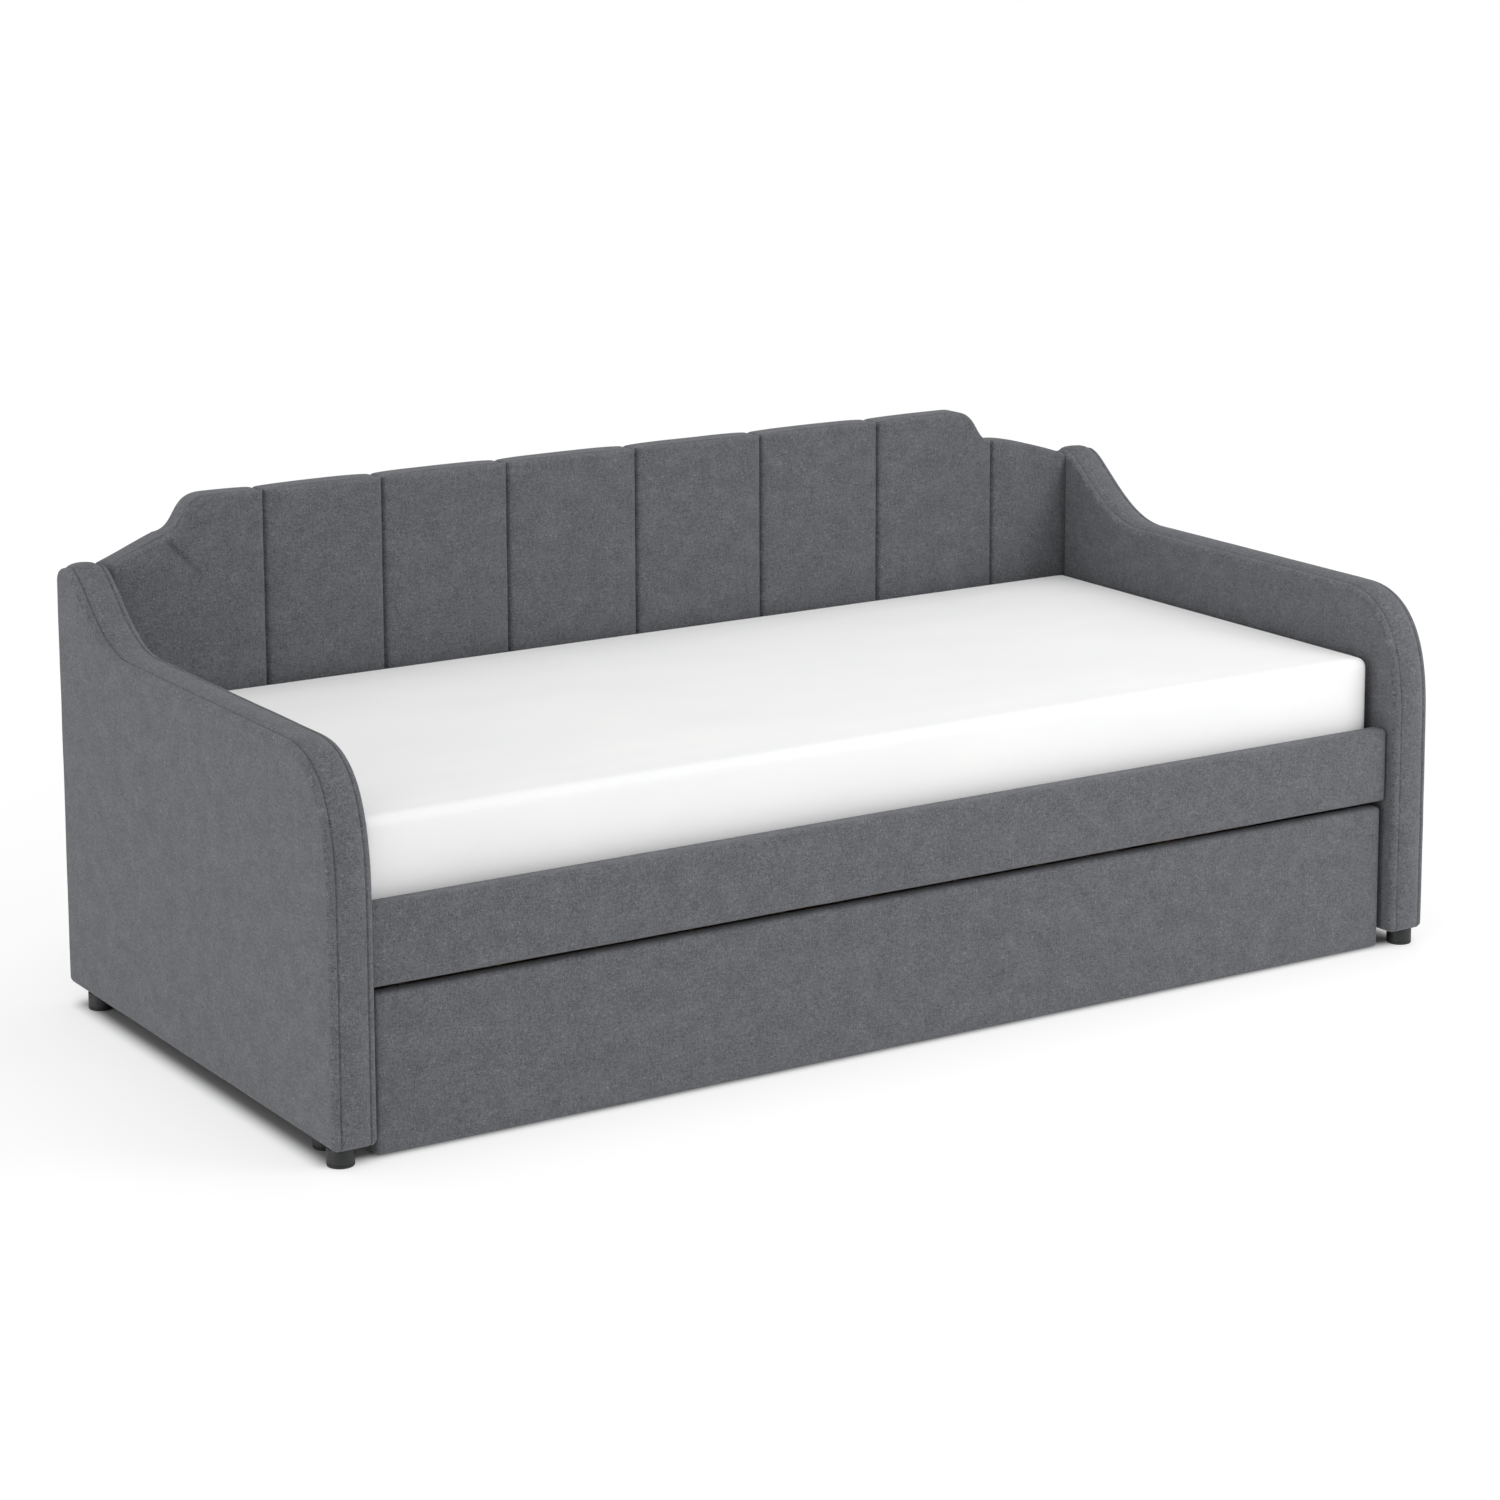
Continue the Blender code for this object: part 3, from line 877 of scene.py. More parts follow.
def arm_cover(side, sign, material):
    """An arm's padded cover: crowned side panels, and a border band between two sewn seams."""
    low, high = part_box(f"{side}_arm")
    middle = (low.x + high.x) / 2
    half = (high.x - low.x) / 2
    outline = arm_outline()
    normals = outward(outline)
    standing = 1 - smoothstep(0.2, 0.8, -normals[:, 1:])  # flat underneath, where the feet are
    outline = outline - normals * BAND_INSET * standing
    run = np.arange(len(outline)) * LOOP_SPACING
    whole = len(outline) * LOOP_SPACING
    inner = outline - normals * EDGE_ROUNDING
    # A line of points 10 mm apart in the panel's middle, onto which its rings close
    spine_y = np.clip(np.round(inner[:, 0] / 0.01) * 0.01, -0.20, 0.22)
    spine = np.stack([spine_y, np.full(len(inner), 0.33)], axis=1)
    panel_steps = np.concatenate([[0.012, 0.03], np.linspace(0.06, 1.0, 24)])

    profile = []  # (across, inset) from the right side of the band to its left side
    for angle in (0, 22.5, 45, 67.5, 90):
        a = math.radians(angle)
        across = half - EDGE_ROUNDING * (1 - math.cos(a))
        profile.append((across, EDGE_ROUNDING * (1 - math.sin(a))))
    seam = half - SEAM_FROM_SIDE
    band = seam - SEAM_HALF_WIDTH
    profile += [(seam + SEAM_HALF_WIDTH, 0.0), (seam, SEAM_DEPTH), (band, 0.0)]
    for share in (0.95, 0.85, 0.7, 0.5, 0.25, 0.0):
        profile.append((band * share, -BAND_CROWN * (1 - share**2.4)))
    profile += [(-across, inset) for across, inset in reversed(profile[:-1])]

    def panel(step, way):
        """One ring of a side panel, its crown out by way."""
        flat = inner + (spine - inner) * step
        reach = np.linalg.norm(flat - inner, axis=1)
        outer_side = way == sign
        crown = OUTER_CROWN if outer_side else INNER_CROWN
        rise = crown * (1 - np.exp(-reach / 0.045))
        if not outer_side:
            clear = smoothstep(0.435, 0.40, flat[:, 0]) * smoothstep(0.43, 0.47, flat[:, 1])
            rise = rise * clear
        x = middle + way * (half + rise)
        return np.stack([x, flat[:, 0], flat[:, 1]], axis=1)

    loops, cloth = [], []
    for step in panel_steps[::-1]:
        loops.append(panel(step, 1))
        cloth.append(box_places(loops[-1], (1, 2)))
    for across, inset in profile:
        flat = outline - normals * (inset if inset > 0 else inset * standing)
        loops.append(np.stack([np.full(len(flat), middle + across), flat[:, 0], flat[:, 1]], axis=1))
        cloth.append([(across, s, whole) for s in run])
    for step in panel_steps:
        loops.append(panel(step, -1))
        cloth.append(box_places(loops[-1], (1, 2)))
    item = shell(f"{side}_arm_cover", loops, cloth, material)
    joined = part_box("back_panel")[0].y - 0.004

    def share(place):
        inner_side = (place.x - middle) * sign < -half + 0.012
        return 0.0 if inner_side and (place.y > joined or place.z < 0.43) else 1.0

    uneven(item, 0.55 * MM, 0.11, 3 + sign, share)
    seams = []
    for across in (seam, -seam):
        flat = outline - normals * (SEAM_DEPTH - 0.5 * MM)
        seams.append(
            np.stack([np.full(len(flat), middle + across), flat[:, 0], flat[:, 1]], axis=1)
        )
    return item, seams


def channel_depth(x):
    """How far the sewn seams pull the back's face in at x: a narrow fold in a wider hollow."""
    depth = np.zeros_like(x)
    for seam in CHANNEL_SEAMS:
        reach = np.abs(x - seam)
        depth += SEAM_FOLD[0] * np.exp(-((reach / SEAM_FOLD[1]) ** 1.3))
        depth += SEAM_HOLLOW[0] * np.exp(-reach / SEAM_HOLLOW[1])
    return depth


def channel_crown(x):
    """The fullness of a channel between its two seams, from 0 to 1."""
    edges = np.array([-1.05, *CHANNEL_SEAMS, 1.05])
    place = np.clip(np.searchsorted(edges, x) - 1, 0, len(edges) - 2)
    share = (x - edges[place]) / (edges[place + 1] - edges[place])
    return 1 - np.abs(2 * share - 1) ** 2.5


def back_cover(material):
    """The back's cover: sewn channels down its front, a seam along its top and a plain rear."""
    low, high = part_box("back_panel")
    thick = high.y - low.y
    top = back_top_line()
    near = np.array([0, 0.7, 1.4, 2.2, 3.2, 4.6, 7, 10, 14, 19, 26, 34]) * MM
    places = [np.linspace(low.x, high.x, 150)]
    places += [seam + way * near for seam in CHANNEL_SEAMS for way in (-1, 1)]
    for side, crown in CROWN_ENDS.items():
        places.append(SIDES[side] * np.linspace(crown - 0.015, crown + STEP_LENGTH + 0.01, 34))
    places.append(np.linspace(-0.930, -0.790, 36))  # round the crease of the left shoulder
    columns = np.unique(np.round(np.concatenate(places), 4))
    columns = columns[(columns > low.x + 2 * MM) & (columns < high.x - 2 * MM)]
    columns = np.concatenate([[low.x], columns, [high.x]])

    heights = np.interp(columns, top[:, 0], top[:, 1])
    slope = np.interp(columns + 2 * MM, top[:, 0], top[:, 1])
    slope = (slope - np.interp(columns - 2 * MM, top[:, 0], top[:, 1])) / (4 * MM)
    slope *= smoothstep(0, 0.02, high.x - np.abs(columns))
    length = np.sqrt(1 + slope**2)
    lean, up = -slope / length, 1 / length
    depth, crown = channel_depth(columns), channel_crown(columns)

    # (y from the front face, inset below the top, share of the way down, how much a seam pulls)
    r, q = BACK_ROUNDING, REAR_ROUNDING
    # Rows of the front from its foot up, close together near the top, where the crease is
    fronts = np.unique(np.concatenate([np.linspace(0, 0.985, 44), np.linspace(0, 0.17, 34)]))
    section = [(0.0, r, f, 1.0) for f in fronts[::-1]]
    for angle in (18, 36, 54, 72, 90):
        a = math.radians(angle)
        section.append((r * (1 - math.cos(a)), r * (1 - math.sin(a)), 0.0, 1.0 - 0.55 * angle / 90))
    at = BACK_SEAM_AT
    wide, deep = 1.9 * MM, 3.6 * MM
    section += [(at - wide, 0.0, 0.0, 0.42), (at, deep, 0.0, 0.4), (at + wide, 0.0, 0.0, 0.42)]
    section += [(thick * share, 0.0, 0.0, 0.42) for share in (0.3, 0.5, 0.7)]
    for angle in (90, 60, 30, 0):
        a = math.radians(angle)
        section.append(
            (thick - q * (1 - math.cos(a)), q * (1 - math.sin(a)), 0.0, 0.5 * angle / 90)
        )
    section += [(thick, q, f, 0.0) for f in np.linspace(0.03, 0.985, 22)]
    section += [(thick - 4 * MM, q, 1.0, 0.0), (thick / 2, q, 1.0, 0.0), (4 * MM, r, 1.0, 0.0)]

    crease_from, crease_to = np.array((-0.905, 0.795)), np.array((-0.822, 0.705))
    crease = crease_to - crease_from
    grid = []
    for back, inset, share, pull in section:
        x = columns - lean * inset
        z = heights - up * inset
        x = x + (columns - x) * share
        z = z + (low.z - z) * share
        front = back < r and share < 1.0
        on_top = not front and share == 0.0 and back < thick
        y = np.full(len(columns), low.y + back)
        if front:
            # Pulled in at the seams, crowned between them above the mattress
            bare = smoothstep(0.52, 0.58, z) * smoothstep(0.0, 0.04, heights - z)
            fade = smoothstep(0.30, 0.50, z)
            y += depth * pull * fade - 1.6 * MM * crown * bare
            reach = np.stack([x, z], axis=1) - crease_from
            along = np.clip(reach @ crease / (crease @ crease), 0, 1)
            off = (reach[:, 0] * crease[1] - reach[:, 1] * crease[0]) / np.linalg.norm(crease)
            soft = np.where(off < 0, 4 * MM, 22 * MM)
            fold = np.exp(-((off / soft) ** 2)) * (1 - along) * smoothstep(-0.05, 0.1, along)
            y += CREASE_DEPTH * fold
        if on_top:
            x = x - lean * depth * pull
            z = z - up * depth * pull + up * 1.2 * MM * crown
        grid.append(np.stack([x, y, z], axis=1))
    grid = np.array(grid)  # section point, column, xyz

    runs = np.zeros(grid.shape[:2])
    runs[1:] = np.cumsum(np.linalg.norm(np.diff(grid[:, :, 1:], axis=0), axis=2), axis=0)
    ends = runs[-1] + np.linalg.norm(grid[0, :, 1:] - grid[-1, :, 1:], axis=1)
    # The rear's cloth hangs straight: its places follow the height, not the way over the top
    hung = [
        float(smoothstep(0.0, 0.12, share)) if back > r or share == 1.0 else 0.0
        for back, _, share, _ in section
    ]
    runs -= 2 * np.array(hung)[:, None] * (heights - high.z)
    ends -= 2 * (heights - high.z)
    loops, cloth = [], []
    for c in range(len(columns)):
        loops.append(grid[:, c])
        cloth.append([(grid[i, c, 0], runs[i, c], ends[c]) for i in range(len(section))])
    for c, first in ((0, True), (len(columns) - 1, False)):
        flat = grid[:, c].copy()
        flat[:, 1] = (low.y + high.y) / 2
        flat[:, 2] = np.clip(np.round(flat[:, 2] / 0.02) * 0.02, low.z + 0.03, 0.74)
        spread = [(p[1], p[2], 0.0) for p in flat]
        loops.insert(0, flat) if first else loops.append(flat)
        cloth.insert(0, spread) if first else cloth.append(spread)
    item = shell("back_cover", loops, cloth, material)

    def share_at(place):
        return float(smoothstep(0, 0.03, high.x - abs(place.x)))

    uneven(item, 0.5 * MM, 0.12, 7, share_at)
    seam_line = np.stack(
        [columns, np.full(len(columns), low.y + at), heights - 3.0 * MM - 0.4 * depth], axis=1
    )
    return item, [seam_line[4:-4]]


def board_cover(name, node, rounding, crown, seed, material):
    """Cloth drawn tight over a padded board, with soft rounded edges and a slightly full face."""
    low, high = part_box(node)
    centre, half = (low + high) / 2, (high - low) / 2
    rows = int(half.z * 2 / 0.014)

    def section(inset):
        """The board's outline in (y, z), anticlockwise, drawn in by inset."""
        hy, hz = half.y - inset, half.z - inset
        r = max(rounding - inset, 0.4 * MM)
        points = []
        for cy, cz, start in ((-1, -1, 180), (1, -1, 270), (1, 1, 0), (-1, 1, 90)):
            points.append(arc((cy * (hy - r), cz * (hz - r)), r, start, start + 90, 5))
        down = np.linspace(hz - r, -(hz - r), rows)[1:-1]
        front = np.stack([np.full(len(down), -hy), down], axis=1)
        up = down[::-1]
        rear = np.stack([np.full(len(up), hy), up], axis=1)
        return np.vstack([points[0], points[1], rear, points[2], points[3], front])

    ends = [math.radians(a) for a in (90, 70, 50, 30, 12)]
    stops = [
        (half.x - rounding * (1 - math.cos(a)), rounding * (1 - math.sin(a))) for a in ends[::-1]
    ]
    columns = sorted(
        [(-x, inset) for x, inset in stops]
        + [(x, 0.0) for x in np.linspace(-(half.x - rounding), half.x - rounding, 130)]
        + stops
    )
    loops, cloth = [], []
    for x, inset in columns:
        flat = section(inset)
        y = flat[:, 0].copy()
        face = y < -(half.y - rounding - 0.5 * MM)
        full = (1 - np.clip(np.abs(flat[:, 1]) / half.z, 0, 1) ** 2.2) * (
            1 - np.clip(abs(x) / half.x, 0, 1) ** 14
        )
        y -= np.where(face, crown * full, 0.0)
        loop = np.stack([np.full(len(flat), centre.x + x), centre.y + y, centre.z + flat[:, 1]], axis=1)
        loops.append(loop)
        run = np.concatenate([[0], np.cumsum(np.linalg.norm(np.diff(flat, axis=0), axis=1))])
        whole = run[-1] + np.linalg.norm(flat[0] - flat[-1])
        cloth.append([(centre.x + x, s, whole) for s in run])
    for way in (-1, 1):
        flat = loops[0 if way < 0 else -1].copy()
        flat[:, 1] = centre.y
        reach = half.z - rounding - 2 * MM
        flat[:, 2] = centre.z + np.clip(
            np.round((flat[:, 2] - centre.z) / 0.012) * 0.012, -reach, reach
        )
        spread = [(p[1], p[2], 0.0) for p in flat]
        if way < 0:
            loops.insert(0, flat)
            cloth.insert(0, spread)
        else:
            loops.append(flat)
            cloth.append(spread)
    item = shell(name, loops, cloth, material)
    uneven(item, 0.45 * MM, 0.10, seed, lambda place: float(place.y < centre.y))
    return item


def rounded_box(name, centre, half, radius, spacing):
    """A box with rounded edges on an even grid, finer round its edges."""
    turns = np.tan(np.radians([0, 15, 30, 45]))
    lines = []
    for reach in half:
        flat = reach - radius
        even = np.linspace(-flat, flat, int(round(2 * flat / spacing)) + 1)
        lines.append(np.concatenate([-flat - radius * turns[:0:-1], even, flat + radius * turns[1:]]))
    shape = bmesh.new()
    for axis in range(3):
        u, v = lines[(axis + 1) % 3], lines[(axis + 2) % 3]
        for way in (-1, 1):
            rows = []
            for a in u:
                row = []
                for b in v:
                    point = np.zeros(3)
                    point[axis] = way * half[axis]
                    point[(axis + 1) % 3], point[(axis + 2) % 3] = a, b
                    core = np.clip(point, -(half - radius), half - radius)
                    out = point - core
                    row.append(shape.verts.new(centre + core + radius * out / np.linalg.norm(out)))
                rows.append(row)
            for near, far in zip(rows, rows[1:]):
                for corners in zip(near, near[1:], far[1:], far):
                    shape.faces.new(corners if way > 0 else corners[::-1])
    bmesh.ops.remove_doubles(shape, verts=shape.verts, dist=0.05 * MM)
    bmesh.ops.recalc_face_normals(shape, faces=shape.faces)
    mesh = bpy.data.meshes.new(name)
    shape.to_mesh(mesh)
    shape.free()
    item = bpy.data.objects.new(name, mesh)
    bpy.context.scene.collection.objects.link(item)
    return item


def blown(item, pressure, cap):
    """Blows a closed pad up a little, as stuffed cloth is, with each point held within a cap."""
    rest = np.array([v.co for v in item.data.vertices])
    cloth = item.modifiers.new("stuffing", "CLOTH")
    cloth.settings.quality = 4
    cloth.settings.use_pressure = True
    cloth.settings.uniform_pressure_force = pressure
    cloth.settings.effector_weights.gravity = 0.0
    cloth.settings.tension_stiffness = 30
    cloth.settings.compression_stiffness = 30
    cloth.settings.bending_stiffness = 4
    cloth.point_cache.frame_end = 20
    for moment in range(1, 21):
        bpy.context.scene.frame_set(moment)
    full = item.evaluated_get(bpy.context.evaluated_depsgraph_get())
    moved = np.array([v.co for v in full.data.vertices]) - rest
    length = np.linalg.norm(moved, axis=1, keepdims=True)
    moved *= np.minimum(1.0, cap / np.maximum(length, 1e-9))
    item.modifiers.clear()
    item.data.vertices.foreach_set("co", (rest + moved).ravel())
    bpy.context.scene.frame_set(1)


def subdivided(item):
    finer = item.modifiers.new("finer", "SUBSURF")
    finer.levels = finer.render_levels = 1
    item.data = bpy.data.meshes.new_from_object(
        item.evaluated_get(bpy.context.evaluated_depsgraph_get())
    )
    item.modifiers.clear()
    item.data.shade_smooth()
    return item


def mattress_pad(material):
    """The foam mattress in its cover: crowned on top, a little full at its sides, flat below."""
    low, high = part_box("mattress")
    shrink = 2.5 * MM
    centre, size = (low + high) / 2, high - low - Vector((1, 1, 1)) * 2 * shrink
    item = rounded_box(
        "mattress_pad", np.array(centre), np.array(size) / 2, MATTRESS_ROUNDING, 20 * MM
    )
    blown(item, 4.0, 4.0 * MM)
    subdivided(item)
    floor = low.z + 0.4 * MM
    for v in item.data.vertices:
        share = (v.co.z - low.z) / (high.z - low.z)
        across = 1 - min(abs(v.co.y) / (size.y / 2), 1.0) ** 4
        along = 1 - min(abs(v.co.x) / (size.x / 2), 1.0) ** 8
        if share > 0.8:
            v.co.z += 1.8 * MM * across * along * (share - 0.8) / 0.2
        v.co.z = max(v.co.z, floor)
    item.data.materials.append(material)
    return item


def turned(name, profile, sides, place, material):
    """A turned piece: (radius, height) pairs spun about the vertical, closed at its poles."""
    shape = bmesh.new()
    rings = []
    for radius, height in profile:
        if radius < 1e-7:
            rings.append([shape.verts.new((0, 0, height))])
            continue
        rings.append(
            [
                shape.verts.new(
                    (
                        radius * math.cos(2 * math.pi * i / sides),
                        radius * math.sin(2 * math.pi * i / sides),
                        height,
                    )
                )
                for i in range(sides)
            ]
        )
    for a, b in zip(rings, rings[1:]):
        for i in range(sides):
            j = (i + 1) % sides
            corners = [a[i % len(a)], a[j % len(a)], b[j % len(b)], b[i % len(b)]]
            shape.faces.new(list(dict.fromkeys(corners)))
    bmesh.ops.recalc_face_normals(shape, faces=shape.faces)
    bmesh.ops.translate(shape, vec=Vector(place), verts=shape.verts)
    mesh = bpy.data.meshes.new(name)
    shape.to_mesh(mesh)
    shape.free()
    mesh.shade_smooth()
    mesh.set_sharp_from_angle(angle=math.radians(35))
    mesh.materials.append(material)
    item = bpy.data.objects.new(name, mesh)
    bpy.context.scene.collection.objects.link(item)
    return item


def foot(node, material):
    """A moulded glide foot: straight sides, eased rims, a groove above its sole."""
    low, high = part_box(node)
    r = (high.x - low.x) / 2
    h = high.z - low.z
    profile = [
        (0.0, 0.6 * MM),
        (r - 6 * MM, 0.6 * MM),
        (r - 5 * MM, 0.0),
        (r - 1.6 * MM, 0.0),
        (r - 0.5 * MM, 0.5 * MM),
        (r, 1.6 * MM),
        (r, 4.6 * MM),
        (r - 0.7 * MM, 5.0 * MM),
        (r - 0.7 * MM, 5.8 * MM),
        (r, 6.2 * MM),
        (r, h - 1.4 * MM),
        (r - 0.4 * MM, h - 0.4 * MM),
        (r - 1.4 * MM, h),
        (0.0, h),
    ]
    centre = ((low.x + high.x) / 2, (low.y + high.y) / 2, low.z)
    item = turned(f"{node}_glide", profile, 56, centre, material)
    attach(item, "bed")
    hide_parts(node)
    return item


# ------------------------------------------------------------------ repeated pieces


def plain_mesh(item, name, body):
    """The modifier's result as a plain mesh of its own, riding on a body."""
    graph = bpy.context.evaluated_depsgraph_get()
    mesh = bpy.data.meshes.new_from_object(item.evaluated_get(graph))
    mesh.name = name
    made = bpy.data.objects.new(name, mesh)
    bpy.context.scene.collection.objects.link(made)
    bpy.data.objects.remove(item)
    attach(made, body)
    return made


def new_tree(name, sockets):
    """A Geometry Nodes tree with its named inputs, its group ends and their identifiers."""
    tree = bpy.data.node_groups.new(name, "GeometryNodeTree")
    tree.interface.new_socket("Geometry", in_out="INPUT", socket_type="NodeSocketGeometry")
    for label, kind in sockets:
        tree.interface.new_socket(label, in_out="INPUT", socket_type=kind)
    tree.interface.new_socket("Geometry", in_out="OUTPUT", socket_type="NodeSocketGeometry")
    return tree, add(tree, "NodeGroupInput").outputs, tree.nodes.new("NodeGroupOutput")


def with_tree(item, tree, values):
    """Adds the tree to an object, with each named input set by its identifier."""
    modifier = item.modifiers.new(tree.name, "NODES")
    modifier.node_group = tree
    for socket in tree.interface.items_tree:
        if socket.in_out == "INPUT" and socket.name in values:
            modifier[socket.identifier] = values[socket.name]
    return item


def stitch_tree():
    """Stitches along a line: one small capsule at each step, lying along the line."""
    tree, given, end = new_tree(
        "stitches_along_a_seam",
        [
            ("Pitch", "NodeSocketFloat"),
            ("Stitch Length", "NodeSocketFloat"),
            ("Thread Radius", "NodeSocketFloat"),
            ("Thread", "NodeSocketMaterial"),
        ],
    )
    line = add(tree, "GeometryNodeMeshToCurve", {"Mesh": given["Geometry"]})
    points = add(
        tree,
        "GeometryNodeResampleCurve",
        {"Curve": line.outputs["Curve"], "Length": given["Pitch"]},
        mode="LENGTH",
    )
    turn = add(
        tree,
        "FunctionNodeAlignRotationToVector",
        {"Vector": add(tree, "GeometryNodeInputTangent").outputs["Tangent"]},
        axis="X",
    )
    half = add(tree, "ShaderNodeMath", {0: given["Stitch Length"], 1: 0.5}, operation="MULTIPLY")
    size = add(
        tree,
        "ShaderNodeCombineXYZ",
        {"X": half.outputs[0], "Y": given["Thread Radius"], "Z": given["Thread Radius"]},
    )
    stitch = add(tree, "GeometryNodeMeshUVSphere", {"Segments": 6, "Rings": 4, "Radius": 1.0})
    looseness = add(
        tree,
        "FunctionNodeRandomValue",
        {"Min": (0.85, 0.9, 0.9), "Max": (1.0, 1.1, 1.1), "Seed": 11},
        data_type="FLOAT_VECTOR",
    )
    scale = add(
        tree,
        "ShaderNodeVectorMath",
        {0: size.outputs["Vector"], 1: looseness.outputs[0]},
        operation="MULTIPLY",
    )
    sewn = add(
        tree,
        "GeometryNodeInstanceOnPoints",
        {
            "Points": points.outputs["Curve"],
            "Instance": stitch.outputs["Mesh"],
            "Rotation": turn.outputs["Rotation"],
            "Scale": scale.outputs["Vector"],
        },
    )
    real = add(tree, "GeometryNodeRealizeInstances", {"Geometry": sewn.outputs["Instances"]})
    smooth = add(tree, "GeometryNodeSetShadeSmooth", {"Geometry": real.outputs["Geometry"]})
    dyed = add(
        tree,
        "GeometryNodeSetMaterial",
        {"Geometry": smooth.outputs["Geometry"], "Material": given["Thread"]},
    )
    tree.links.new(dyed.outputs["Geometry"], end.inputs["Geometry"])
    return tree


def repeat_tree():
    """The same small piece at each point, turned as the point says."""
    tree, given, end = new_tree(
        "piece_at_each_point",
        [
            ("Piece", "NodeSocketObject"),
            ("Scale", "NodeSocketFloat"),
            ("Finish", "NodeSocketMaterial"),
        ],
    )
    piece = add(tree, "GeometryNodeObjectInfo", {"Object": given["Piece"]})
    turn = add(
        tree, "GeometryNodeInputNamedAttribute", {"Name": "turn"}, data_type="FLOAT_VECTOR"
    )
    placed = add(
        tree,
        "GeometryNodeInstanceOnPoints",
        {
            "Points": given["Geometry"],
            "Instance": piece.outputs["Geometry"],
            "Rotation": turn.outputs["Attribute"],
            "Scale": given["Scale"],
        },
    )
    real = add(tree, "GeometryNodeRealizeInstances", {"Geometry": placed.outputs["Instances"]})
    finished = add(
        tree,
        "GeometryNodeSetMaterial",
        {"Geometry": real.outputs["Geometry"], "Material": given["Finish"]},
    )
    tree.links.new(finished.outputs["Geometry"], end.inputs["Geometry"])
    return tree


def sew(name, lines, body, thread, tree):
    """Stitches along each line of points, as one piece."""
    verts, edges = [], []
    for points, closed in lines:
        start = len(verts)
        verts += points.tolist()
        edges += [(start + i, start + i + 1) for i in range(len(points) - 1)]
        if closed:
            edges.append((len(verts) - 1, start))
    mesh = bpy.data.meshes.new(name)
    mesh.from_pydata(verts, edges, [])
    item = bpy.data.objects.new(f"{name}_path", mesh)
    bpy.context.scene.collection.objects.link(item)
    with_tree(
        item,
        tree,
        {
            "Pitch": STITCH_PITCH,
            "Stitch Length": STITCH_LENGTH,
            "Thread Radius": THREAD_RADIUS,
            "Thread": thread,
        },
    )
    return plain_mesh(item, name, body)


def repeat(name, piece, places, body, finish, tree):
    """One piece at each (point, direction its top faces, turn about that direction)."""
    mesh = bpy.data.meshes.new(name)
    mesh.from_pydata([tuple(p) for p, _, _ in places], [], [])
    turns = mesh.attributes.new("turn", "FLOAT_VECTOR", "POINT")
    for datum, (_, facing, spin) in zip(turns.data, places):
        upright = Vector(facing).to_track_quat("Z", "Y") @ Euler((0, 0, spin)).to_quaternion()
        datum.vector = upright.to_euler()
    item = bpy.data.objects.new(f"{name}_places", mesh)
    bpy.context.scene.collection.objects.link(item)
    with_tree(item, tree, {"Piece": piece, "Scale": 1.0, "Finish": finish})
    return plain_mesh(item, name, body)


def screw_head(material):
    """A pan-headed screw with a round recess sunk in its head, standing on the surface at its foot."""
    r = SCREW_RADIUS
    profile = [
        (0.0, 0.9 * MM),
        (0.9 * MM, 1.1 * MM),
        (1.5 * MM, 2.1 * MM),
        (r * 0.62, 2.1 * MM),
        (r * 0.9, 1.5 * MM),
        (r, 0.5 * MM),
        (r, 0.0),
        (0.0, 0.0),
    ]
    return turned("screw_head", profile, 14, (0, 0, 0), material)


def staple(material):
    """A staple's crown: a flat wire with its ends bent down into the board."""
    shape = bmesh.new()
    half, wire = 5.0 * MM, 0.5 * MM
    points = [(-half, -1.2 * MM), (-half, 0.0), (-half * 0.9, wire), (half * 0.9, wire)]
    points += [(half, 0.0), (half, -1.2 * MM)]
    rings = []
    for x, z in points:
        rings.append(
            [shape.verts.new((x, y * wire, z + w * wire * 0.6)) for y, w in ((-1, 0), (1, 0), (0, 1))]
        )
    for a, b in zip(rings, rings[1:]):
        for i in range(3):
            j = (i + 1) % 3
            shape.faces.new((a[i], a[j], b[j], b[i]))
    shape.faces.new(rings[0])
    shape.faces.new(rings[-1])
    bmesh.ops.recalc_face_normals(shape, faces=shape.faces)
    mesh = bpy.data.meshes.new("staple")
    shape.to_mesh(mesh)
    shape.free()
    mesh.materials.append(material)
    item = bpy.data.objects.new("staple", mesh)
    bpy.context.scene.collection.objects.link(item)
    return item


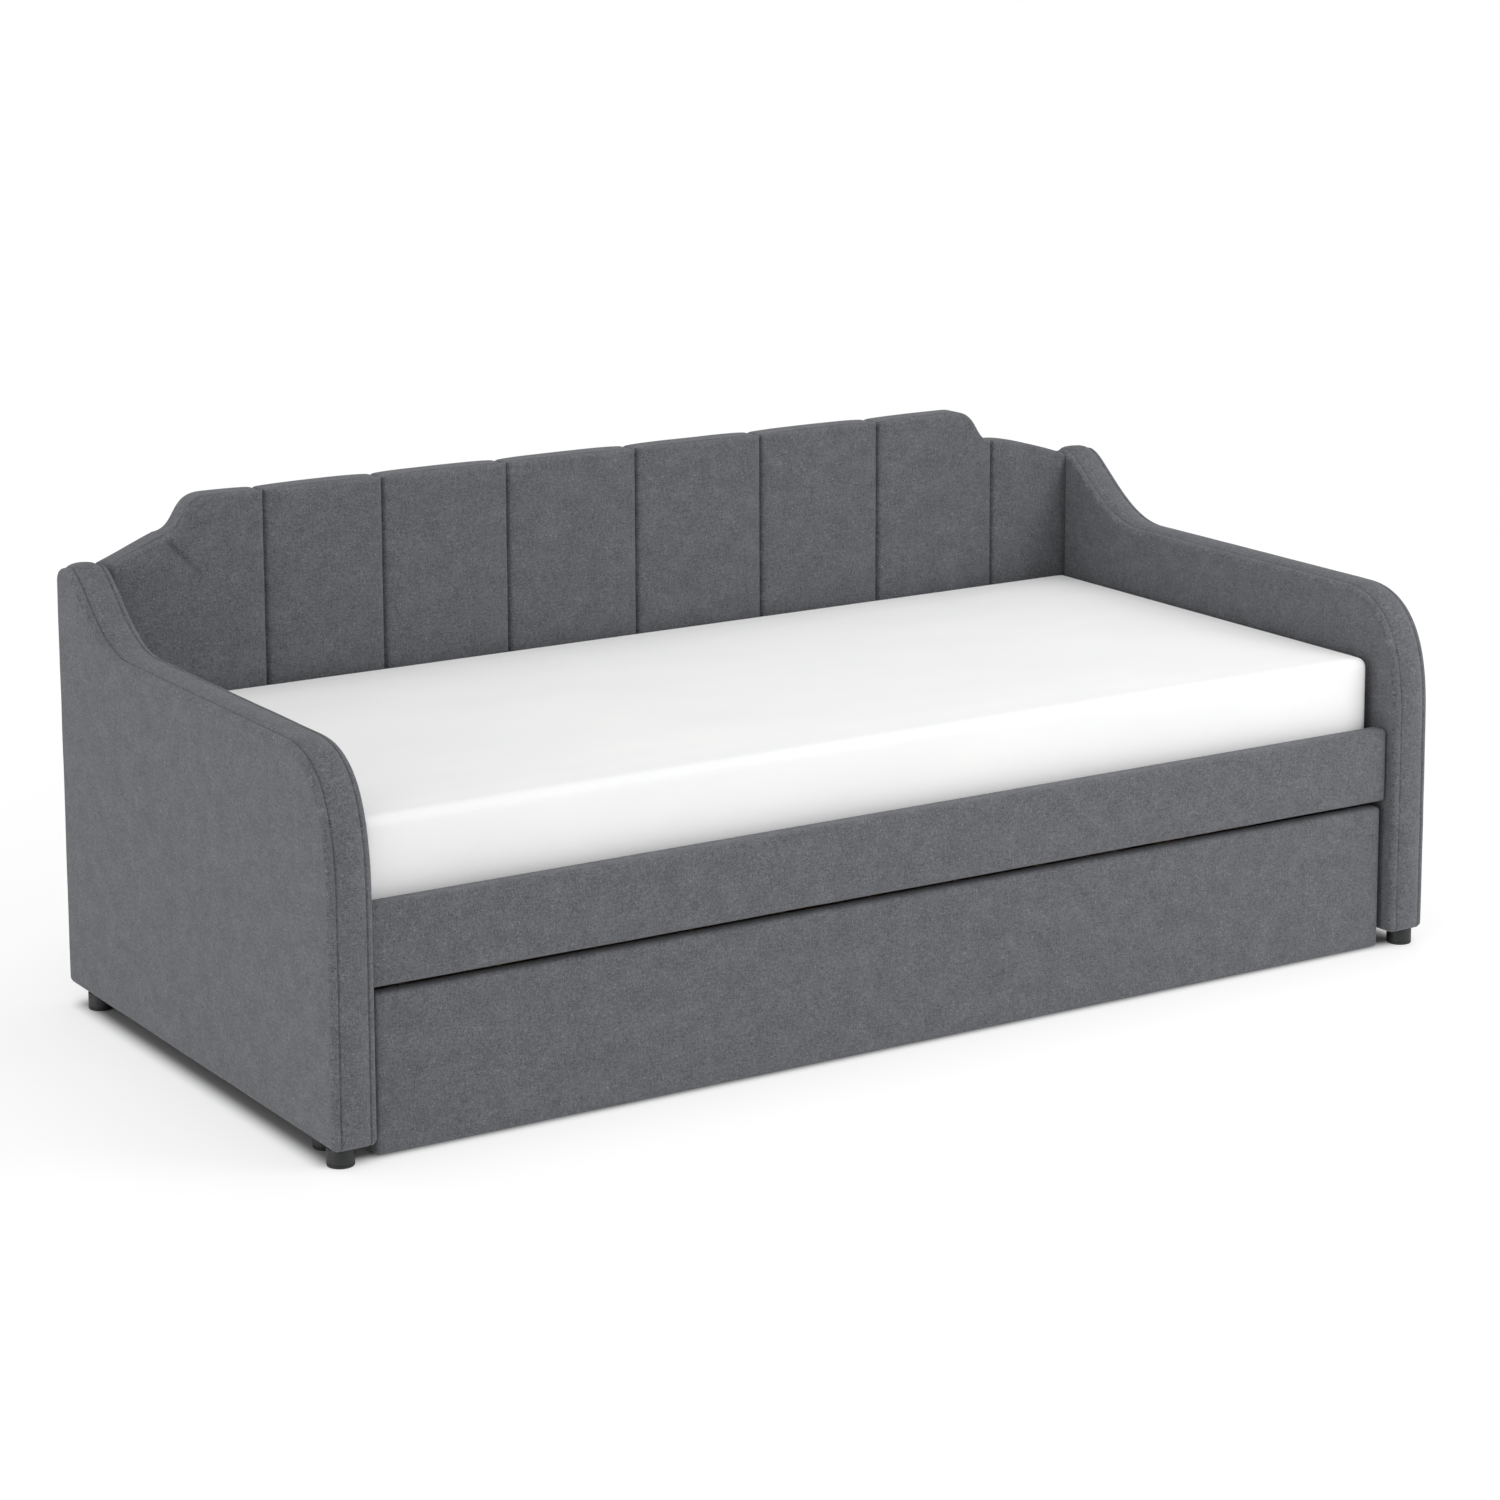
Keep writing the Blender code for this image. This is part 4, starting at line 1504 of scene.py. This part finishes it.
def slat_shoe(material):
    """A moulded shoe that holds a slat's end: two cheeks and an end wall, open on top."""
    low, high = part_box("bed_slat_01")
    width, height = high.x - low.x, high.z - low.z
    wall, reach = 2.0 * MM, 24 * MM
    w = width / 2 + 0.4 * MM
    outline = [
        (-w - wall, 0), (-w - wall, reach + wall), (w + wall, reach + wall), (w + wall, 0),
        (w, 0), (w, reach), (-w, reach), (-w, 0),
    ]
    shape = bmesh.new()
    tops = [(x, y, height - 1.5 * MM) for x, y in outline]
    lower = [shape.verts.new((x, y, 0.3 * MM)) for x, y in outline]
    upper = [shape.verts.new(p) for p in tops]
    for i in range(len(outline)):
        j = (i + 1) % len(outline)
        shape.faces.new((lower[i], lower[j], upper[j], upper[i]))
    for ring in (lower, upper):
        for a, b, c, d in ((0, 1, 6, 7), (1, 2, 5, 6), (2, 3, 4, 5)):
            shape.faces.new((ring[a], ring[b], ring[c], ring[d]))
    bmesh.ops.recalc_face_normals(shape, faces=shape.faces)
    bmesh.ops.bevel(
        shape,
        geom=[e for e in shape.edges if len(e.link_faces) == 2 and e.calc_face_angle() > 1.0],
        offset=0.5 * MM,
        segments=1,
        affect="EDGES",
    )
    mesh = bpy.data.meshes.new("slat_shoe")
    shape.to_mesh(mesh)
    shape.free()
    mesh.materials.append(material)
    item = bpy.data.objects.new("slat_shoe", mesh)
    bpy.context.scene.collection.objects.link(item)
    return item


def lining_panel(name, low, high, material):
    """A thin sheet of lining stapled flat on a board's hidden face, made as a plain thin box."""
    shape = bmesh.new()
    bmesh.ops.create_cube(shape, size=1.0)
    size = Vector(high) - Vector(low)
    bmesh.ops.scale(shape, vec=size, verts=shape.verts)
    bmesh.ops.translate(shape, vec=(Vector(high) + Vector(low)) / 2, verts=shape.verts)
    mesh = bpy.data.meshes.new(name)
    shape.to_mesh(mesh)
    shape.free()
    mesh.materials.append(material)
    item = bpy.data.objects.new(name, mesh)
    bpy.context.scene.collection.objects.link(item)
    return item


# ------------------------------------------------------------------ the object

CLOTH = woven_upholstery()
KNIT = knitted_cover()
PINE_ALONG_X = planed_pine("planed_pine_long_boards", "X")
PINE_ALONG_Y = planed_pine("planed_pine_side_boards", "Y")
BIRCH = glued_birch()
BLACK_PLASTIC = moulded_plastic("black_moulded_polypropylene", "#2C2D2F", "#1B1C1D", 0.5, 0.9 * MM)
NYLON = moulded_plastic("dark_grey_nylon_tread", "#4B4C50", "#38393C", 0.42, 0.7 * MM)
STEEL = zinc_plated_steel()
LINING = spun_lining()
THREAD = sewing_thread()

FINISHES = {
    "front_ledge": PINE_ALONG_X,
    "rear_ledge": PINE_ALONG_X,
    "rail_bracket": STEEL,
    "back_bracket": STEEL,
    "bed_slat": BIRCH,
    "trundle_side": PINE_ALONG_Y,
    "trundle_back_board": PINE_ALONG_X,
    "trundle_ledge": PINE_ALONG_X,
    "trundle_beam": PINE_ALONG_X,
    "trundle_slat": BIRCH,
    "caster_housing": BLACK_PLASTIC,
    "caster_axle": STEEL,
    "caster_wheel": NYLON,
}
for node_name, node in NODES.items():
    for start, finish in FINISHES.items():
        if node_name.startswith(start):
            node.data.materials.clear()
            node.data.materials.append(finish)

STITCHES = stitch_tree()
REPEAT = repeat_tree()

seam_lines = []
for side, sign in SIDES.items():
    cover, seams = arm_cover(side, sign, CLOTH)
    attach(cover, "bed")
    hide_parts(f"{side}_arm")
    seam_lines += [(line, True) for line in seams]
cover, seams = back_cover(CLOTH)
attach(cover, "bed")
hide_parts("back_panel")
seam_lines += [(line, False) for line in seams]
sew("cover_stitches", seam_lines, "bed", THREAD, STITCHES)

for name, node_name, body, seed in (
    ("front_rail_cover", "front_rail", "bed", 11),
    ("trundle_front_cover", "trundle_front", "trundle", 13),
):
    cover = board_cover(name, node_name, 7.5 * MM, 1.5 * MM, seed, CLOTH)
    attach(cover, body)
    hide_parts(node_name)

pad = mattress_pad(KNIT)
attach(pad, "mattress")
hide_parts("mattress")

for node_name in [n for n in NODES if n.startswith("foot_")]:
    foot(node_name, BLACK_PLASTIC)

# Slat shoes on the bed's ledges
shoe = slat_shoe(BLACK_PLASTIC)
shoe_places = []
for number in range(1, 13):
    low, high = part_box(f"bed_slat_{number:02d}")
    middle = (low.x + high.x) / 2
    shoe_places.append(((middle, high.y - 23.5 * MM, low.z - 0.2 * MM), (0, 0, 1), 0.0))
    shoe_places.append(((middle, low.y + 23.5 * MM, low.z - 0.2 * MM), (0, 0, 1), math.pi))
repeat("slat_shoes", shoe, shoe_places, "bed", BLACK_PLASTIC, REPEAT)
bpy.data.objects.remove(shoe)

# Screws: through each bracket's legs, and in the trundle's corners, slats and casters
screw = screw_head(STEEL)
bed_screws = []
for side, sign in SIDES.items():
    for row, way in (("rail", 1), ("back", -1)):
        low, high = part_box(f"{row}_bracket_{side}")
        corner_x = low.x if sign < 0 else high.x
        corner_y = low.y if way > 0 else high.y
        wall = 3.0 * MM
        for along in (14 * MM, 27 * MM):
            z = (low.z + high.z) / 2 + (9 * MM if along > 20 * MM else -9 * MM)
            face_y = corner_y + way * wall
            bed_screws.append(((corner_x - sign * along, face_y, z), (0, way, 0), 0.3))
            face_x = corner_x - sign * wall
            bed_screws.append(((face_x, corner_y + way * along, z), (-sign, 0, 0), 0.7))
repeat("bracket_screws", screw, bed_screws, "bed", STEEL, REPEAT)

trundle_screws = []
front_low, front_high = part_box("trundle_front")
for side, sign in SIDES.items():
    low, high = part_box(f"trundle_side_{side}")
    outer = low.x if sign < 0 else high.x
    for y in (low.y + 0.05, high.y - 9 * MM):
        for z in (low.z + 0.03, high.z - 0.03):
            trundle_screws.append(((outer, y, z), (sign, 0, 0), 0.5))
    for row in ("front", "rear"):
        c_low, c_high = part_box(f"caster_housing_{side}_{row}")
        face = c_high.x if sign < 0 else c_low.x
        for way in (-1, 1):
            y = (c_low.y + c_high.y) / 2 + way * 23 * MM
            trundle_screws.append(((face, y, c_high.z - 8 * MM), (-sign, 0, 0), 0.2))
for number in range(1, 11):
    low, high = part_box(f"trundle_slat_{number:02d}")
    middle = (low.x + high.x) / 2
    for y in (low.y + 12 * MM, high.y - 12 * MM):
        trundle_screws.append(((middle, y, high.z), (0, 0, 1), 0.4 * number))
repeat("trundle_screws", screw, trundle_screws, "trundle", STEEL, REPEAT)
bpy.data.objects.remove(screw)

# Lining and its staples on the inner face of the trundle front
margin, above = 14 * MM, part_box("trundle_side_left")[1].z + 6 * MM
panel = lining_panel(
    "trundle_front_lining",
    (front_low.x + margin, front_high.y + 0.15 * MM, above),
    (front_high.x - margin, front_high.y + 0.75 * MM, front_high.z - margin),
    LINING,
)
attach(panel, "trundle")
clip = staple(STEEL)
staple_places = []
x_run = np.arange(front_low.x + 0.04, front_high.x - 0.03, STAPLE_PITCH)
for x in x_run:
    staple_places.append(((x, front_high.y + 0.8 * MM, front_high.z - margin - 5 * MM), (0, 1, 0), 0.0))
    staple_places.append(((x, front_high.y + 0.8 * MM, above + 5 * MM), (0, 1, 0), 0.0))
repeat("lining_staples", clip, staple_places, "trundle", STEEL, REPEAT)
bpy.data.objects.remove(clip)


# ------------------------------------------------------------------ studio


def make_floor():
    mesh = bpy.data.meshes.new("studio_floor")
    reach = 40.0
    mesh.from_pydata(
        [(-reach, -reach, 0), (reach, -reach, 0), (reach, reach, 0), (-reach, reach, 0)],
        [],
        [(0, 1, 2, 3)],
    )
    mesh.materials.append(floor_with_painted_glow())
    item = bpy.data.objects.new("studio_floor", mesh)
    bpy.context.scene.collection.objects.link(item)


def make_panel_light(name, place, target, size, power):
    """A large square soft light near the bed, aimed at a point."""
    data = bpy.data.lights.new(name, "AREA")
    data.energy = power
    data.size = size
    item = bpy.data.objects.new(name, data)
    item.location = place
    item.rotation_euler = (Vector(target) - Vector(place)).to_track_quat("-Z", "Y").to_euler()
    bpy.context.scene.collection.objects.link(item)


def make_light(name, turn, strength, spread):
    """A distant soft light; turn is its direction as (tilt from straight down, heading)."""
    data = bpy.data.lights.new(name, "SUN")
    data.energy = strength
    data.angle = math.radians(spread)
    item = bpy.data.objects.new(name, data)
    tilt, heading = turn
    item.rotation_euler = (math.radians(tilt), 0, math.radians(heading))
    bpy.context.scene.collection.objects.link(item)


def make_camera():
    data = bpy.data.cameras.new("camera")
    data.lens = 93.41
    data.sensor_width = 36.0
    data.shift_x = 0.05
    data.shift_y = -0.20
    item = bpy.data.objects.new("camera", data)
    heading = Matrix.Rotation(math.radians(-31.454), 4, "Z")
    tilt = Matrix.Rotation(math.radians(90 - 9.811), 4, "X")
    roll = Matrix.Rotation(math.radians(-0.39), 4, "Z")
    item.rotation_euler = (heading @ tilt @ roll).to_euler()
    item.location = (-3.5744, -5.5724, 2.0788)
    bpy.context.scene.collection.objects.link(item)
    bpy.context.scene.camera = item


def make_surroundings():
    world = bpy.data.worlds.new("white_studio")
    world.use_nodes = True
    sky = world.node_tree.nodes["Background"]
    sky.inputs["Color"].default_value = linear("#FDFDFD")
    sky.inputs["Strength"].default_value = 0.60
    bpy.context.scene.world = world
    bpy.context.scene.view_settings.view_transform = "Standard"


make_floor()
make_surroundings()
make_panel_light("soft_key", (3.4, -4.0, 2.4), (0.2, 0.0, 0.3), 2.6, 99.0)
make_light("overhead_box", (6, 0), 0.98, 60)
make_light("left_fill", (86, -88), 1.0, 30)
make_camera()
